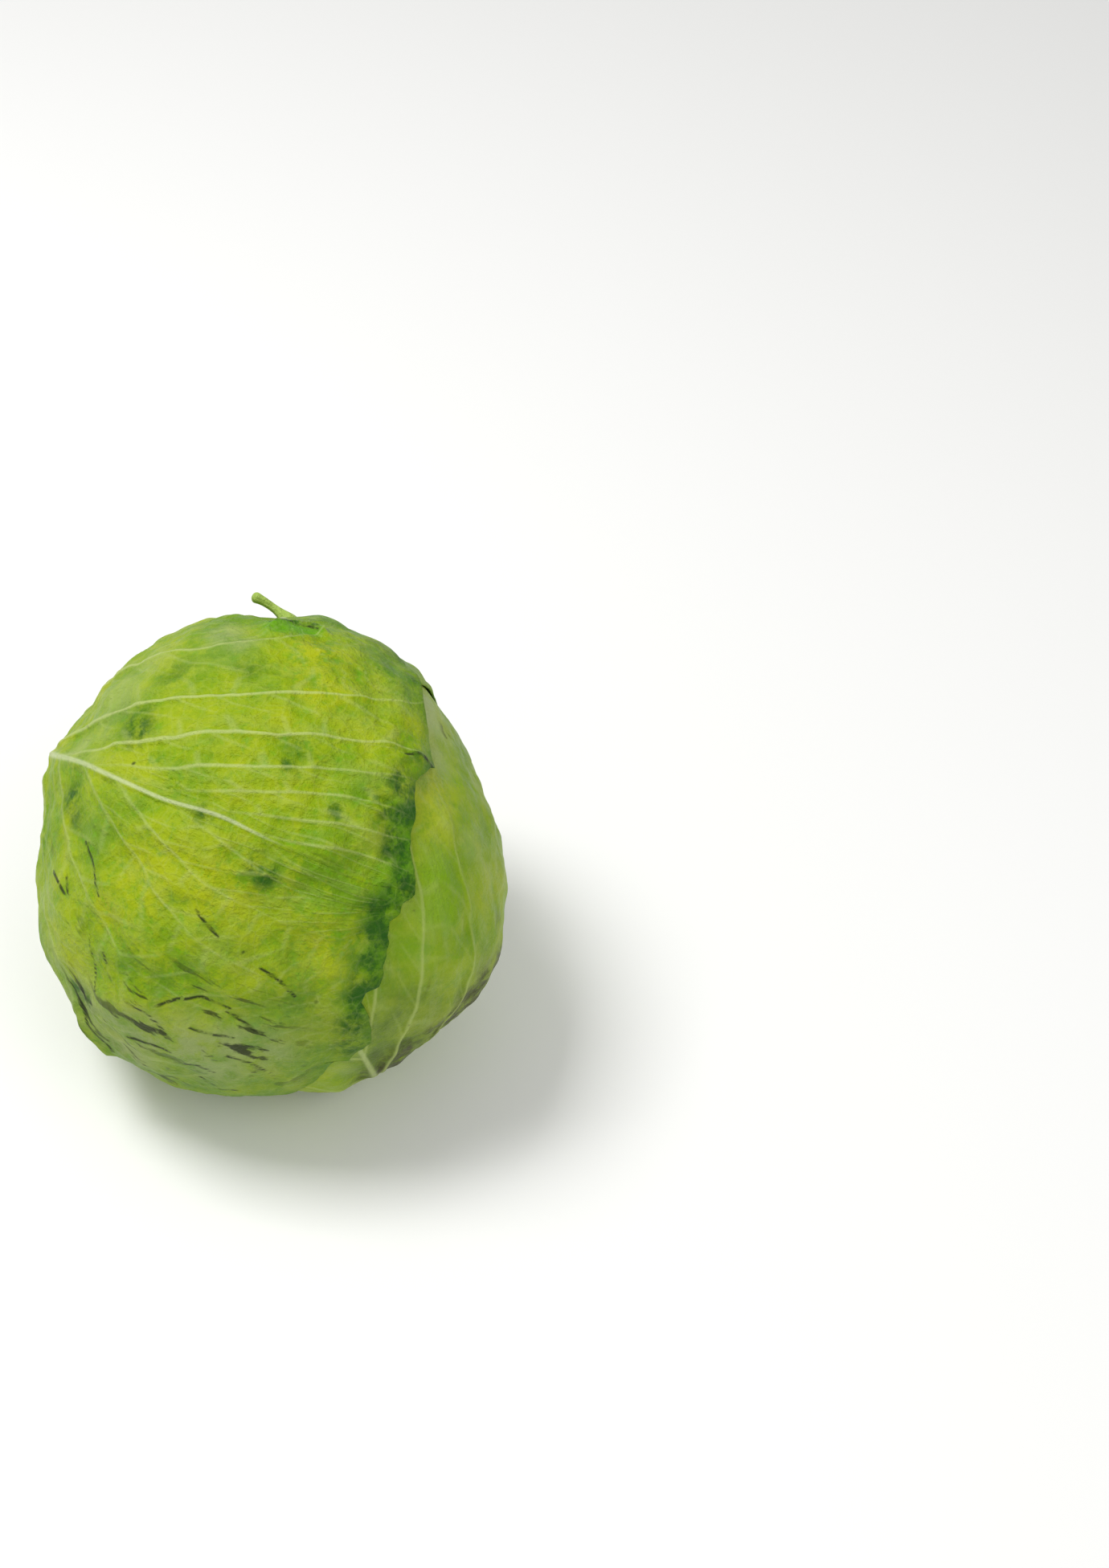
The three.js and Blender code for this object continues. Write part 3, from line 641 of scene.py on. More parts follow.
def leaf_shapes() -> list[LeafShape]:
    """The wrapper leaves, from the innermost to the outermost."""
    right = LeafShape(
        name="wrapper_leaf_right", bearing=352, lean=-3, wave=2.5,
        starts=HIDDEN_STARTS, tip=HIDDEN_TIP, rows=200, columns=84,
        halves=(
            Half(1, HIDDEN_RIBS, (
                (0, 17.5, 10), (1, 39, 36), (2, 58, 52), (3, 82, 58),
                (4, 107, 53), (5, 131, 41), (6, 150, 24), (7, 164, 0),
            )),
            Half(-1, HIDDEN_RIBS, HIDDEN_MARGIN),
        ),
    )
    lower_left = LeafShape(
        name="wrapper_leaf_lower_left", bearing=217, lean=2, wave=2.5,
        starts=HIDDEN_STARTS, tip=HIDDEN_TIP, rows=200, columns=84,
        halves=(Half(1, HIDDEN_RIBS, HIDDEN_MARGIN), Half(-1, HIDDEN_RIBS, HIDDEN_MARGIN)),
    )
    pale = LeafShape(
        name="wrapper_leaf_pale", bearing=294, lean=0, wave=1.6,
        rib_strength=(0.8, 0.8), vein_height=0.05,
        starts=(15, 29, 43, 58, 76, 96, 116, 137, 160), tip=((176, 0), (192, 0)),
        rows=256, columns=112,
        halves=(
            Half(1, (
                ((16, 3.5), (17, 7)), ((35, 10), (34, 20)), ((54, 16), (56, 38)),
                ((75, 22), (90, 54)), ((116, 27), (166, 46)), ((132, 18), (171, 33)),
                ((143, 11), (172, 22)), ((155, 6), (178, 10)),
            ), (
                (0, 322, 161), (1, 342, 141), (2, 8, 118), (3, 34, 98), (4, 60, 76),
                (5, 66, 50), (6, 74, 37), (7, 90, 31), (8, 114, 28),
            ), on_leaf=False),
            Half(-1, (
                ((16, 3.5), (17, 7)), ((33, 13), (36, 25)), ((49, 19), (52, 37)),
                ((67, 23), (72, 45)), ((88, 23), (96, 45)), ((110, 21), (121, 41)),
                ((131, 16), (143, 31)), ((152, 10), (165, 19)),
            ), (
                (0, 17.5, 10), (1, 39, 37), (2, 54, 55), (3, 76, 66), (4, 102, 66),
                (5, 131, 59), (6, 154, 45), (7, 178, 26), (8, 208, 0),
            )),
        ),
    )
    top = LeafShape(
        name="wrapper_leaf_top", bearing=88, lean=0, wave=0.7,
        starts=HIDDEN_STARTS, tip=((154, 0), (167, 0)), rows=228, columns=100,
        halves=(
            Half(1, HIDDEN_RIBS, (
                (0, 17.5, 10), (1, 38, 38), (2, 54, 60), (3, 84, 72), (4, 118, 66),
                (5, 144, 50), (6, 164, 28), (7, 180, 0),
            )),
            Half(-1, (
                ((16, 3.5), (17, 7)), ((31, 10), (33, 19)), ((48, 17), (49, 33)),
                ((66, 22), (66, 43)), ((90, 15), (98, 29)), ((112, 13), (124, 25)),
                ((132, 9), (147, 18)),
            ), (
                (0, 17.5, 10), (1, 34, 28), (2, 46, 47), (3, 62, 60), (3.5, 84, 49),
                (4, 104, 42), (4.5, 117, 35), (5, 134, 34), (6, 160, 26), (7, 180, 0),
            )),
        ),
    )
    front = LeafShape(
        name="wrapper_leaf_front", bearing=156, lean=2.5, wave=0.6,
        starts=(15, 26, 42, 60, 80, 98, 114, 126, 138, 151, 172, 202),
        tip=((206, -1), (210, -2)), rows=320, columns=128, frayed=0.55,
        rib_strength=(0.55, 1.0),
        halves=(
            Half(1, (
                ((16, 3.5), (17, 7)), ((30, 9), (32, 17)), ((45, 14), (46, 27)),
                ((62, 18), (64, 35)), ((86, 25), (94, 48)), ((115, 33), (146, 64)),
                ((138, 28), (176, 42)), ((150, 16), (182, 29)), ((158, 10), (184, 16)),
                ((172, 5), (192, 8)), ((187, 2.5), (201, 4)),
            ), (
                (0, 189, 161), (1, 194, 142), (2, 205, 124), (3, 208, 108), (3.5, 213, 95),
                (4, 226, 84), (4.5, 248, 95), (5, 268, 88), (5.25, 281, 66), (5.4, 287, 59),
                (5.55, 290, 60.5), (5.8, 293, 56.5), (6.1, 297, 55), (6.35, 300, 50),
                (6.6, 301, 46), (6.8, 301, 42.5), (7, 304, 41), (7.25, 309, 42),
                (7.5, 312, 40.5), (7.8, 320, 36), (8.1, 325, 33.8), (8.6, 330, 32),
                (9.2, 335, 33.2), (10, 339, 33), (11, 344, 35),
            ), on_leaf=False),
            Half(-1, (
                ((16, 3.5), (17, 7)), ((30, 9), (31, 17)), ((46, 14), (47, 28)),
                ((66, 17), (70, 34)), ((107, 23), (143, 42)), ((134, 19), (170, 35)),
                ((150, 14.5), (180, 27.5)), ((158, 9.5), (183, 20)), ((167, 7), (189, 15.5)),
                ((176, 4.5), (194, 10)), ((188, 2.5), (201, 6)),
            ), (
                (0, 126, 161), (1, 114, 143), (2, 106, 122), (3, 104, 104), (3.5, 93, 75),
                (4, 74, 77), (4.5, 60, 76), (4.7, 55, 68), (4.85, 51, 66), (5, 46, 58),
                (5.25, 41, 55), (5.5, 36, 52), (5.8, 31, 49.5), (6.05, 28, 49),
                (6.2, 29, 46.5), (6.5, 28, 44), (7, 27, 39), (7.5, 23, 37), (8, 14, 35.7),
                (9, 7, 34), (9.5, 1, 33.2), (10, 353, 34), (11, 344, 35),
            ), on_leaf=False),
        ),
    )
    return [right, lower_left, pale, top, front]


class Stack:
    """The wrapper leaves in the order in which they lie on each other."""

    def __init__(self, form: HeadForm, leaves: list[LeafShape]) -> None:
        """Maps every leaf's cover.

        Args:
            form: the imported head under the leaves.
            leaves: the leaves, innermost first.
        """
        self.form = form
        self.leaves = leaves
        for leaf in leaves:
            leaf.map_cover()

    def covers(self, directions: Array) -> list[Array]:
        """Every leaf's cover at directions."""
        return [leaf.cover(directions) for leaf in self.leaves]

    def openness(self, covers: list[Array], order: int) -> Array:
        """Where a layer is open.

        Args:
            covers: every leaf's cover.
            order: number of the layer.

        Returns:
            1 where no outer leaf lies over it, 0 where one does.
        """
        if order + 1 >= len(covers):
            return np.ones_like(covers[0])
        return 1 - np.max(covers[order + 1:], axis=0)

    def seat(self, order: int, directions: Array, covers: list[Array]) -> Array:
        """What a leaf lies on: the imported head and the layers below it.

        Args:
            order: number of the leaf.
            directions: unit vectors.
            covers: every leaf's cover.

        Returns:
            Radius in millimetres.
        """
        radius = self.form.packed(directions, sum(covers))
        for below in range(order):
            tent = self.leaves[below].tent(directions)
            radius = radius + covers[below] * (PITCH + tent)
        return radius

    def limit(self, order: int, directions: Array, covers: list[Array], depth: float) -> Array:
        """The largest radius over the floor, with room for the leaves that lie outside."""
        above = depth + sum((c * PITCH for c in covers[order + 1:]), np.zeros_like(covers[0]))
        return self.form.floor_limit(directions, above)


@dataclass(frozen=True)
class Patch:
    """A soft round patch on the head, for a colour, for wear, for painted shade or for painted
    light.
    """

    bearing: float
    arc: float
    size: float
    strength: float = 1.0


def line_distance(directions: Array, line: tuple[tuple[float, float], ...]) -> Array:
    """Millimetres from directions to a line of straight runs through (bearing, arc) points."""
    return run_distance(directions, np.array([from_crown(b, a) for b, a in line]))


@dataclass(frozen=True)
class Crease:
    """A small fold that stands up along a line of (bearing, arc) points."""

    line: tuple[tuple[float, float], ...]
    height: float = 0.8
    width: float = 1.3


@dataclass(frozen=True)
class Marks:
    """One leaf's marks: soft patches by mask name, folds and thin lines, painted shade and light
    among them.
    """

    patches: dict[str, tuple[Patch, ...]] = field(default_factory=dict)
    creases: tuple[Crease, ...] = ()
    # Thin lines: scratched ones, and painted shade beside folds.
    scratch_and_fold_shade_lines: tuple[tuple[tuple[float, float], ...], ...] = ()


def spots(*rows: tuple[float, float, float, float]) -> tuple[Patch, ...]:
    """Patches from rows of bearing, arc, size in millimetres and strength."""
    return tuple(Patch(*row) for row in rows)


def patch_mask(directions: Array, patches: tuple[Patch, ...]) -> Array:
    """The strongest bell curve of the patches.

    Args:
        directions: unit vectors.
        patches: the patches.

    Returns:
        Values from 0 to 1.
    """
    mask = np.zeros(directions.shape[:-1])
    for patch in patches:
        centre = from_crown(patch.bearing, patch.arc)
        distance = np.linalg.norm(directions - centre, axis=-1) * TYPICAL_RADIUS
        mask = np.maximum(mask, patch.strength * bell(distance, patch.size))
    return mask


# Soft patch masks: colours and wear, with painted shade and painted light among them.
PATCH_NAMES = ("dark", "fresh", "yellow", "scuff", "painted_shade", "bloom", "painted_light", "crumple")
MASK_NAMES = ("rib", "vein", "spine", "edge", "pale", "scratch_and_fold_shade", *PATCH_NAMES)
# Half width of the thin lines, scratched ones and painted shade beside folds.
SCRATCH_AND_FOLD_SHADE_HALF_WIDTH = 1.15


def plain_masks(count: int, pale: float) -> dict[str, Array]:
    """Masks of a piece with no ribs, patches or wear, away from any margin."""
    masks = {name: np.zeros(count) for name in MASK_NAMES}
    masks["edge"] = np.ones(count)
    masks["pale"] = np.full(count, pale)
    return masks


class Slot(Enum):
    """The record's material slots."""

    INNER = "inner_leaves"
    STEM = "stem"
    WRAPPER = "wrapper_leaf"
    PALE = "pale_wrapper_leaf"
    FRONT = "front_wrapper_leaf"


@dataclass
class Surface:
    """A mesh in millimetres, upright, with its masks.

    Args:
        points: one row a vertex.
        quads: vertex numbers of the quads.
        triangles: vertex numbers of the triangles.
        masks: values from 0 to 1 for each vertex, by name.
        chart: two surface coordinates in millimetres for each vertex.
    """

    points: Array
    quads: Array
    triangles: Array
    masks: dict[str, Array]
    chart: Array

    def to_object(self, name: str, form: HeadForm) -> bpy.types.Object:
        """Puts the surface in a Blender mesh with its masks and UV map.

        Args:
            name: name of the object and its mesh.
            form: the head, which tells where upright points lie in the room.

        Returns:
            The object, linked to the scene.
        """
        mesh = bpy.data.meshes.new(name)
        room = form.to_room(self.points).astype(np.float32)
        corners = np.concatenate([self.quads.ravel(), self.triangles.ravel()]).astype(np.int32)
        sizes = np.concatenate(
            [np.full(len(self.quads), 4), np.full(len(self.triangles), 3)]
        ).astype(np.int32)
        mesh.vertices.add(len(room))
        mesh.vertices.foreach_set("co", room.ravel())
        mesh.loops.add(len(corners))
        mesh.loops.foreach_set("vertex_index", corners)
        mesh.polygons.add(len(sizes))
        starts = np.concatenate([[0], np.cumsum(sizes)[:-1]]).astype(np.int32)
        mesh.polygons.foreach_set("loop_start", starts)
        mesh.polygons.foreach_set("use_smooth", np.ones(len(sizes), bool))
        uv_map = mesh.uv_layers.new(name="Blade")
        uv_map.data.foreach_set("uv", (self.chart[corners] * MM).astype(np.float32).ravel())
        for mask_name, values in self.masks.items():
            attribute = mesh.attributes.new(mask_name, "FLOAT", "POINT")
            attribute.data.foreach_set("value", values.astype(np.float32))
        mesh.update(calc_edges=True)
        mesh.validate()
        obj = bpy.data.objects.new(name, mesh)
        bpy.context.scene.collection.objects.link(obj)
        return obj


def capped_tube(rings: Array, first: Array, last: Array, turn: int) -> tuple[Array, ...]:
    """Rings joined into a tube, each end closed by a fan of triangles to one point.

    Args:
        rings: points by ring and by place round it.
        first: the point that closes the first ring.
        last: the point that closes the last ring.
        turn: 1 or -1, whichever makes the faces point outwards.

    Returns:
        The points, the quads and the triangles.
    """
    count, around = rings.shape[:2]
    here = np.arange(count * around).reshape(count, around)
    beside = np.roll(here, -1, axis=1)
    if turn > 0:
        corners = [here[:-1], here[1:], beside[1:], beside[:-1]]
    else:
        corners = [here[:-1], beside[:-1], beside[1:], here[1:]]
    quads = np.stack(corners, axis=-1).reshape(-1, 4)
    fans = []
    for step, near, far in ((0, here[0], beside[0]), (1, beside[-1], here[-1])):
        pair = (near, far) if turn > 0 else (far, near)
        fans.append(np.stack([np.full(around, here.size + step), *pair], axis=-1))
    return np.concatenate([rings.reshape(-1, 3), [first, last]]), quads, np.concatenate(fans)


@dataclass
class LeafBuilder:
    """Makes one wrapper leaf: a thin closed blade with ribs, veins, puckers and a frayed edge.

    The outer face is a fine grid of rows from the stem to the tip and columns from the
    midrib to the margin. The inner face is the same grid at a quarter of the fineness, and a
    rounded edge joins them.
    """

    shape: LeafShape
    order: int
    stack: Stack
    marks: Marks = field(default_factory=Marks)
    # Side ribs: a ridge, and a thinner line of colour on it.
    rib_height: float = 1.6
    rib_width: float = 1.6
    rib_wander: float = 0.5
    rib_root: tuple[float, float] = (0.02, 0.15)
    rib_room: tuple[float, float] = (2.8, 14.0)
    rib_at_margin: float = 0.1
    rib_fall: float = 0.75
    rib_thinnest: float = 0.45
    rib_by_midrib: float = 0.35
    rib_steady: float = 1.3
    line_share: float = 0.62
    line_crowded: float = 0.25
    line_faded: float = 0.35
    least_spacing: float = 1.5
    # Side veins that leave the ribs aslant.
    vein_pitch: float = 15.0
    vein_width: float = 0.9
    vein_slant: float = 0.9
    vein_square: float = 0.74
    vein_shifts: tuple[float, float, float] = (5.1, 3.3, 2.0)
    vein_root: tuple[float, float] = (0.05, 0.2)
    vein_reach: float = 0.62
    vein_fading: float = 0.55
    # The swell between ribs and the puckers, which calm down by the midrib, and the folds.
    quilt_height: float = 1.1
    quilt_reach: float = 1.2
    calm_reach: float = 1.6
    pucker_height: float = 0.34
    small_puckers: float = 0.4
    crumple_height: float = 0.9
    small_folds: float = 0.5
    fold_level: float = 0.6
    fold_deepest: float = 1.5
    # The margin: frayed, waved, thin and close to what it lies on.
    fray_from: float = 0.6
    fray_sizes: tuple[float, float] = (0.55, 0.28)
    fray_by_stem: tuple[float, float] = (0.3, 1.2)
    fray_by_tip: tuple[float, float] = (0.0, 0.6)
    shortest_row: float = 12.0
    wave_band: float = 11.0
    wave_turns: float = 4.3
    wave_rise: tuple[float, float] = (25.0, 60.0)
    snug_band: tuple[float, float] = (2.0, 16.0)
    tight_gap: float = 0.4
    margin_colour_band: float = 40.0
    # The grids.
    crowding: float = 1.12
    coarse: int = 4
    inner_start: float = 0.02
    inner_width: float = 0.985
    slope_step: float = 0.02

    def build(self) -> Surface:
        """The leaf as one closed surface.

        Returns:
            The outer grid, the rounded edge, the strip that joins it to the inner grid, and
            the inner grid, all in one vertex list.
        """
        rows, columns = self.shape.rows, self.shape.columns
        places = self.shape.row_places(rows)
        shares = np.linspace(0, 1, columns + 1) ** self.crowding
        outer = [self._face(side, places, shares) for side in (0, 1)]
        inner_rows = np.interp(np.arange(0, rows + 1, self.coarse), np.arange(rows + 1), places)
        inner_rows[0] += self.inner_start
        inner_shares = shares[:: self.coarse] * self.inner_width
        inner = [self._face(side, inner_rows, inner_shares) for side in (0, 1)]
        points, quads, triangles = [], [], []
        fine = self._number(outer, "outer", points, 0)
        ring = self._ring(fine)
        total = sum(len(p) for p in points)
        flat_outer = self._gather(outer, "outer")
        flat_inner = self._gather(outer, "inner")
        middle = (flat_outer + flat_inner) / 2 + self._outward_shift(outer)
        ring_count = len(ring)
        middle_ring = np.arange(total, total + ring_count)
        inner_ring = middle_ring + ring_count
        points.append(middle[ring])
        points.append(flat_inner[ring])
        coarse = self._number(inner, "inner", points, total + 2 * ring_count)
        coarse_ring = self._ring(coarse)
        for side, turn in enumerate((1, -1)):
            quads.append(self._grid_quads(fine[side], turn))
            quads.append(self._grid_quads(coarse[side], -turn))
        for first, second in ((ring, middle_ring), (middle_ring, inner_ring)):
            after, before = np.roll(first, -1), np.roll(second, -1)
            quads.append(np.stack([after, first, second, before], axis=-1))
        triangles.append(self._fan(inner_ring, coarse_ring))
        masks = self._masks(outer, inner, ring)
        chart = self._per_vertex(outer, inner, ring, "chart")
        return Surface(
            np.concatenate(points), np.concatenate(quads), np.concatenate(triangles), masks, chart
        )

    def _face(self, side: int, places: Array, shares: Array) -> dict[str, Array]:
        """Both radii, the masks and the chart of one half, on a grid of places and shares.

        Args:
            side: the half.
            places: places in ribs, one a row.
            shares: shares of the way from the midrib to the margin, one a column.

        Returns:
            The inner face at the radius of its seat plus the gap, the midrib's tent and the
            margin's wave; the outer face at that plus the thickness and the relief; both
            no lower than the floor allows; and the directions, masks and chart.
        """
        shape = self.shape
        v, u = np.meshgrid(places, shares, indexing="ij")
        fray = self._fray(side, places)
        reach = 1 + fray[:, None] * smooth_step(self.fray_from, 1.0, u)
        direction = shape.blade(side, v, u * reach)
        row_length, spacing = self._lengths(side, v, u)
        to_margin = (1 - u) * row_length * MARGIN_SLANT
        relief = self._relief(side, v, u, spacing, row_length, direction)
        covers = self.stack.covers(direction)
        is_open = self.stack.openness(covers, self.order)
        _, along = shape.midrib_place(direction)
        from_stem = np.degrees(np.arccos(np.clip(-direction[..., 2], -1, 1)))
        thin = smooth_step(0, MARGIN_THIN_BAND, to_margin)
        thickness = MARGIN_THICKNESS + (LEAF_THICKNESS - MARGIN_THICKNESS) * thin
        wave = 0.5 + 0.5 * np.sin(v * self.wave_turns)
        lift = shape.wave * smooth_step(*self.wave_rise, along) * bell(to_margin, self.wave_band)
        snug = 1 - smooth_step(*self.snug_band, to_margin)
        gap = LEAF_GAP - (LEAF_GAP - self.tight_gap) * snug
        base = self.stack.seat(self.order, direction, covers)
        base = base + gap + shape.tent(direction) + is_open * lift * wave
        inner = np.minimum(base, self.stack.limit(self.order, direction, covers, LEAF_THICKNESS))
        outer = inner + thickness + is_open * relief["height"] * thin
        outer = np.minimum(outer, self.stack.limit(self.order, direction, covers, 0))
        return {
            "direction": direction,
            "outer": direction * outer[..., None],
            "inner": direction * inner[..., None],
            "rib": relief["rib"],
            "vein": relief["vein"] * thin,
            "spine": relief["spine"],
            "edge": np.clip(to_margin / self.margin_colour_band, 0, 1),
            "pale": 1 - smooth_step(PALE_FROM_STEM, GREEN_FROM_STEM, from_stem),
            "chart": np.stack(
                [relief["travel"], (1 if side == 0 else -1) * u * row_length], axis=-1
            ),
        }

    def _lengths(self, side: int, v: Array, u: Array) -> tuple[Array, Array]:
        """Lengths on the blade, from small steps on it.

        Args:
            side: the half.
            v: places in ribs.
            u: shares of the way out.

        Returns:
            Millimetres from the midrib to the margin, and millimetres between neighbouring
            ribs, square to the row.
        """
        shape, step = self.shape, self.slope_step
        low, high = np.clip(v - step, 0, shape.count), np.clip(v + step, 0, shape.count)
        across = shape.blade(side, high, u) - shape.blade(side, low, u)
        across *= (TYPICAL_RADIUS / np.maximum(high - low, TINY))[..., None]
        farther = np.minimum(u + step, 1)
        outwards = shape.blade(side, v, farther) - shape.blade(side, v, farther - 2 * step)
        row_length = np.linalg.norm(outwards, axis=-1) * TYPICAL_RADIUS / (2 * step)
        spacing = np.linalg.norm(np.cross(across, normalise(outwards)), axis=-1)
        return row_length, np.maximum(spacing, self.least_spacing)

    def _fray(self, side: int, places: Array) -> Array:
        """Small in and out shifts of the margin along its run.

        Args:
            side: the half.
            places: places in ribs.

        Returns:
            Shares of a row.
        """
        line = self.shape.margin_direction(side, places) * TYPICAL_RADIUS
        start = guide_direction(self.shape.middle, places) * TYPICAL_RADIUS
        length = np.maximum(np.linalg.norm(line - start, axis=-1), self.shortest_row)
        broad, small = self.fray_sizes
        shift = broad * Ripple(BROAD_FRAY, FIRST_FRAY_SEED + self.order).at(line)
        shift = shift + small * SMALL_FRAY.at(line)
        by_stem = smooth_step(*self.fray_by_stem, places)
        by_tip = smooth_step(*self.fray_by_tip, self.shape.count - places)
        return self.shape.frayed * shift * by_stem * by_tip / length

    def _relief(
        self, side: int, v: Array, u: Array, spacing: Array, row_length: Array, direction: Array
    ) -> dict[str, Array]:
        """What stands up from the blade.

        Args:
            side: the half.
            v: places in ribs.
            u: shares of the way out.
            spacing: millimetres between neighbouring ribs.
            row_length: millimetres from the midrib to the margin.
            direction: unit vectors.

        Returns:
            height: the midrib; ribs, a bell curve over the distance from the nearest rib,
                that fade towards the margin; side veins that leave the ribs aslant, at an
                even pitch, and fade halfway to the next rib; a swell between ribs; random
                puckers; and the leaf's own crumpled patches and creases.
            rib, vein, spine: masks of ribs, side veins and the midrib's crest.
            travel: millimetres across the ribs from the stem.
        """
        spot = direction * TYPICAL_RADIUS
        wobble = self.rib_wander * RIB_BENDS[side].at(spot)
        placed = v + wobble / spacing * smooth_step(*self.rib_root, u)
        nearest = np.clip(np.round(placed), 1, self.shape.count - 1)
        distance = np.abs(placed - nearest) * spacing
        apart = smooth_step(*self.rib_room, spacing)
        fade = (1 - u) ** self.rib_fall * (1 - self.rib_at_margin) + self.rib_at_margin
        width = self.rib_width * (self.rib_thinnest + (1 - self.rib_thinnest) * fade)
        rib = bell(distance, width) * np.minimum(fade * self.rib_steady, 1)
        line = bell(distance, width * self.line_share)
        vein = self._side_veins(u * row_length, u, nearest, placed, distance, spacing, spot)
        part = np.abs(v - np.floor(v))
        out = np.minimum(u * self.quilt_reach, 1)
        swell = apart * np.sin(np.pi * part) * np.sin(np.pi * out)
        pucker = BROAD_PUCKERS.at(spot) + self.small_puckers * SMALL_PUCKERS.at(spot)
        midrib_height, midrib_mask, spine = self.shape.midrib(direction)
        calm = 1 - np.clip(midrib_mask * self.calm_reach, 0, 1)
        strength = self.shape.rib_strength[side]
        ridge = self.rib_height * strength * apart * fade * bell(distance, width)
        height = midrib_height + ridge * (self.rib_by_midrib + (1 - self.rib_by_midrib) * calm)
        height = height + calm * (
            self.quilt_height * swell + self.shape.vein_height * vein
            + self.pucker_height * pucker
        )
        folds = BROAD_FOLDS.at(spot) + self.small_folds * SMALL_FOLDS.at(spot)
        crumpled = patch_mask(direction, self.marks.patches.get("crumple", ()))
        folded = self.fold_level - np.minimum(np.abs(folds), self.fold_deepest)
        height = height + self.crumple_height * crumpled * folded
        for crease in self.marks.creases:
            height = height + crease.height * bell(
                line_distance(direction, crease.line), crease.width
            )
        beside = CHART_COLUMN
        spread = np.cumsum(
            np.diff(v[:, :1], axis=0) * spacing[1:, beside:beside + 1], axis=0
        )
        travel = np.concatenate([[[0.0]], spread]) * np.ones_like(v)
        mask = line * strength * (self.line_crowded + (1 - self.line_crowded) * apart)
        mask = mask * (self.line_faded + (1 - self.line_faded) * rib)
        return {
            "height": height, "rib": np.clip(mask, 0, 1), "vein": vein * calm,
            "spine": spine, "travel": travel,
        }

    def _side_veins(
        self, run: Array, u: Array, nearest: Array, placed: Array, distance: Array,
        spacing: Array, spot: Array,
    ) -> Array:
        """Bell curves round slanting lines at an even pitch along each rib.

        Args:
            run: millimetres out from the midrib.
            u: shares of the way out.
            nearest: number of the nearest rib.
            placed: places in ribs.
            distance: millimetres from the nearest rib.
            spacing: millimetres between neighbouring ribs.
            spot: points in millimetres.

        Returns:
            1 on a vein, fading with the distance from its rib, up to halfway to the next.
        """
        by_rib, by_side, bend = self.vein_shifts
        shift = nearest * by_rib + np.sign(placed - nearest) * by_side + bend * VEIN_BENDS.at(spot)
        turns = (run - self.vein_slant * distance + shift) / self.vein_pitch
        off_line = np.abs(turns - np.round(turns)) * self.vein_pitch * self.vein_square
        halfway = 1 - smooth_step(self.vein_fading, 1.0, distance / (spacing * self.vein_reach))
        return bell(off_line, self.vein_width) * halfway * smooth_step(*self.vein_root, u)

    def _number(
        self, faces: list[dict[str, Array]], key: str, points: list[Array], first: int
    ) -> list[Array]:
        """Adds a face's points and numbers them, with shared midrib and tip.

        Args:
            faces: both halves.
            key: which face.
            points: list that the points go to.
            first: first number.

        Returns:
            Vertex numbers of each half, by row and column.
        """
        rows, columns = faces[0][key].shape[:2]
        numbers = first + np.arange(rows * columns).reshape(rows, columns)
        own = first + rows * columns + np.arange((rows - 1) * (columns - 1))
        second = np.empty_like(numbers)
        second[:, 0] = numbers[:, 0]
        second[-1, :] = numbers[-1, :]
        second[:-1, 1:] = own.reshape(rows - 1, columns - 1)
        points.append(self._gather(faces, key))
        return [numbers, second]

    @staticmethod
    def _gather(faces: list[dict[str, Array]], key: str) -> Array:
        """One list of a value of both halves, in the order of their vertex numbers."""
        first, second = faces[0][key], faces[1][key][:-1, 1:]
        tail = first.shape[2:]
        return np.concatenate([first.reshape(-1, *tail), second.reshape(-1, *tail)])

    @staticmethod
    def _ring(numbers: list[Array]) -> Array:
        """The boundary of both halves as one loop of vertex numbers."""
        first, second = numbers
        return np.concatenate(
            [first[0, :-1], first[:-1, -1], second[:0:-1, -1], second[0, :0:-1]]
        )

    @staticmethod
    def _grid_quads(numbers: Array, turn: int) -> Array:
        """Quads of a grid, turned to face out or in."""
        corners = [numbers[:-1, :-1], numbers[:-1, 1:], numbers[1:, 1:], numbers[1:, :-1]]
        quads = np.stack([c.ravel() for c in corners], axis=-1)
        return quads if turn > 0 else quads[:, ::-1]

    def _fan(self, fine: Array, coarse: Array) -> Array:
        """Triangles between a fine ring and one with a quarter of its points.

        Args:
            fine: numbers of the fine ring.
            coarse: numbers of the other.

        Returns:
            Vertex numbers of the triangles.
        """
        steps = [np.roll(fine, -k)[:: self.coarse] for k in range(self.coarse + 1)]
        here, there = coarse, np.roll(coarse, -1)
        triples = [
            (steps[1], steps[0], here), (steps[2], steps[1], here), (steps[2], here, there),
            (steps[3], steps[2], there), (steps[4], steps[3], there),
        ]
        return np.concatenate([np.stack(t, axis=-1) for t in triples])

    def _outward_shift(self, faces: list[dict[str, Array]]) -> Array:
        """Almost half the margin's thickness, away from the midrib, for the rounded edge."""
        shifts = []
        for face in faces:
            points = face["outer"]
            along = normalise(points - np.roll(points, 1, axis=1))
            along[:, 0] = along[:, 1]
            shifts.append(along * MARGIN_THICKNESS * EDGE_BULGE)
        return self._gather([{"shift": s} for s in shifts], "shift")

    def _per_vertex(
        self, outer: list[dict[str, Array]], inner: list[dict[str, Array]], ring: Array, key: str
    ) -> Array:
        """A value for every vertex: outer grid, the two edge rings, inner grid."""
        fine = self._gather(outer, key)
        return np.concatenate([fine, fine[ring], fine[ring], self._gather(inner, key)])

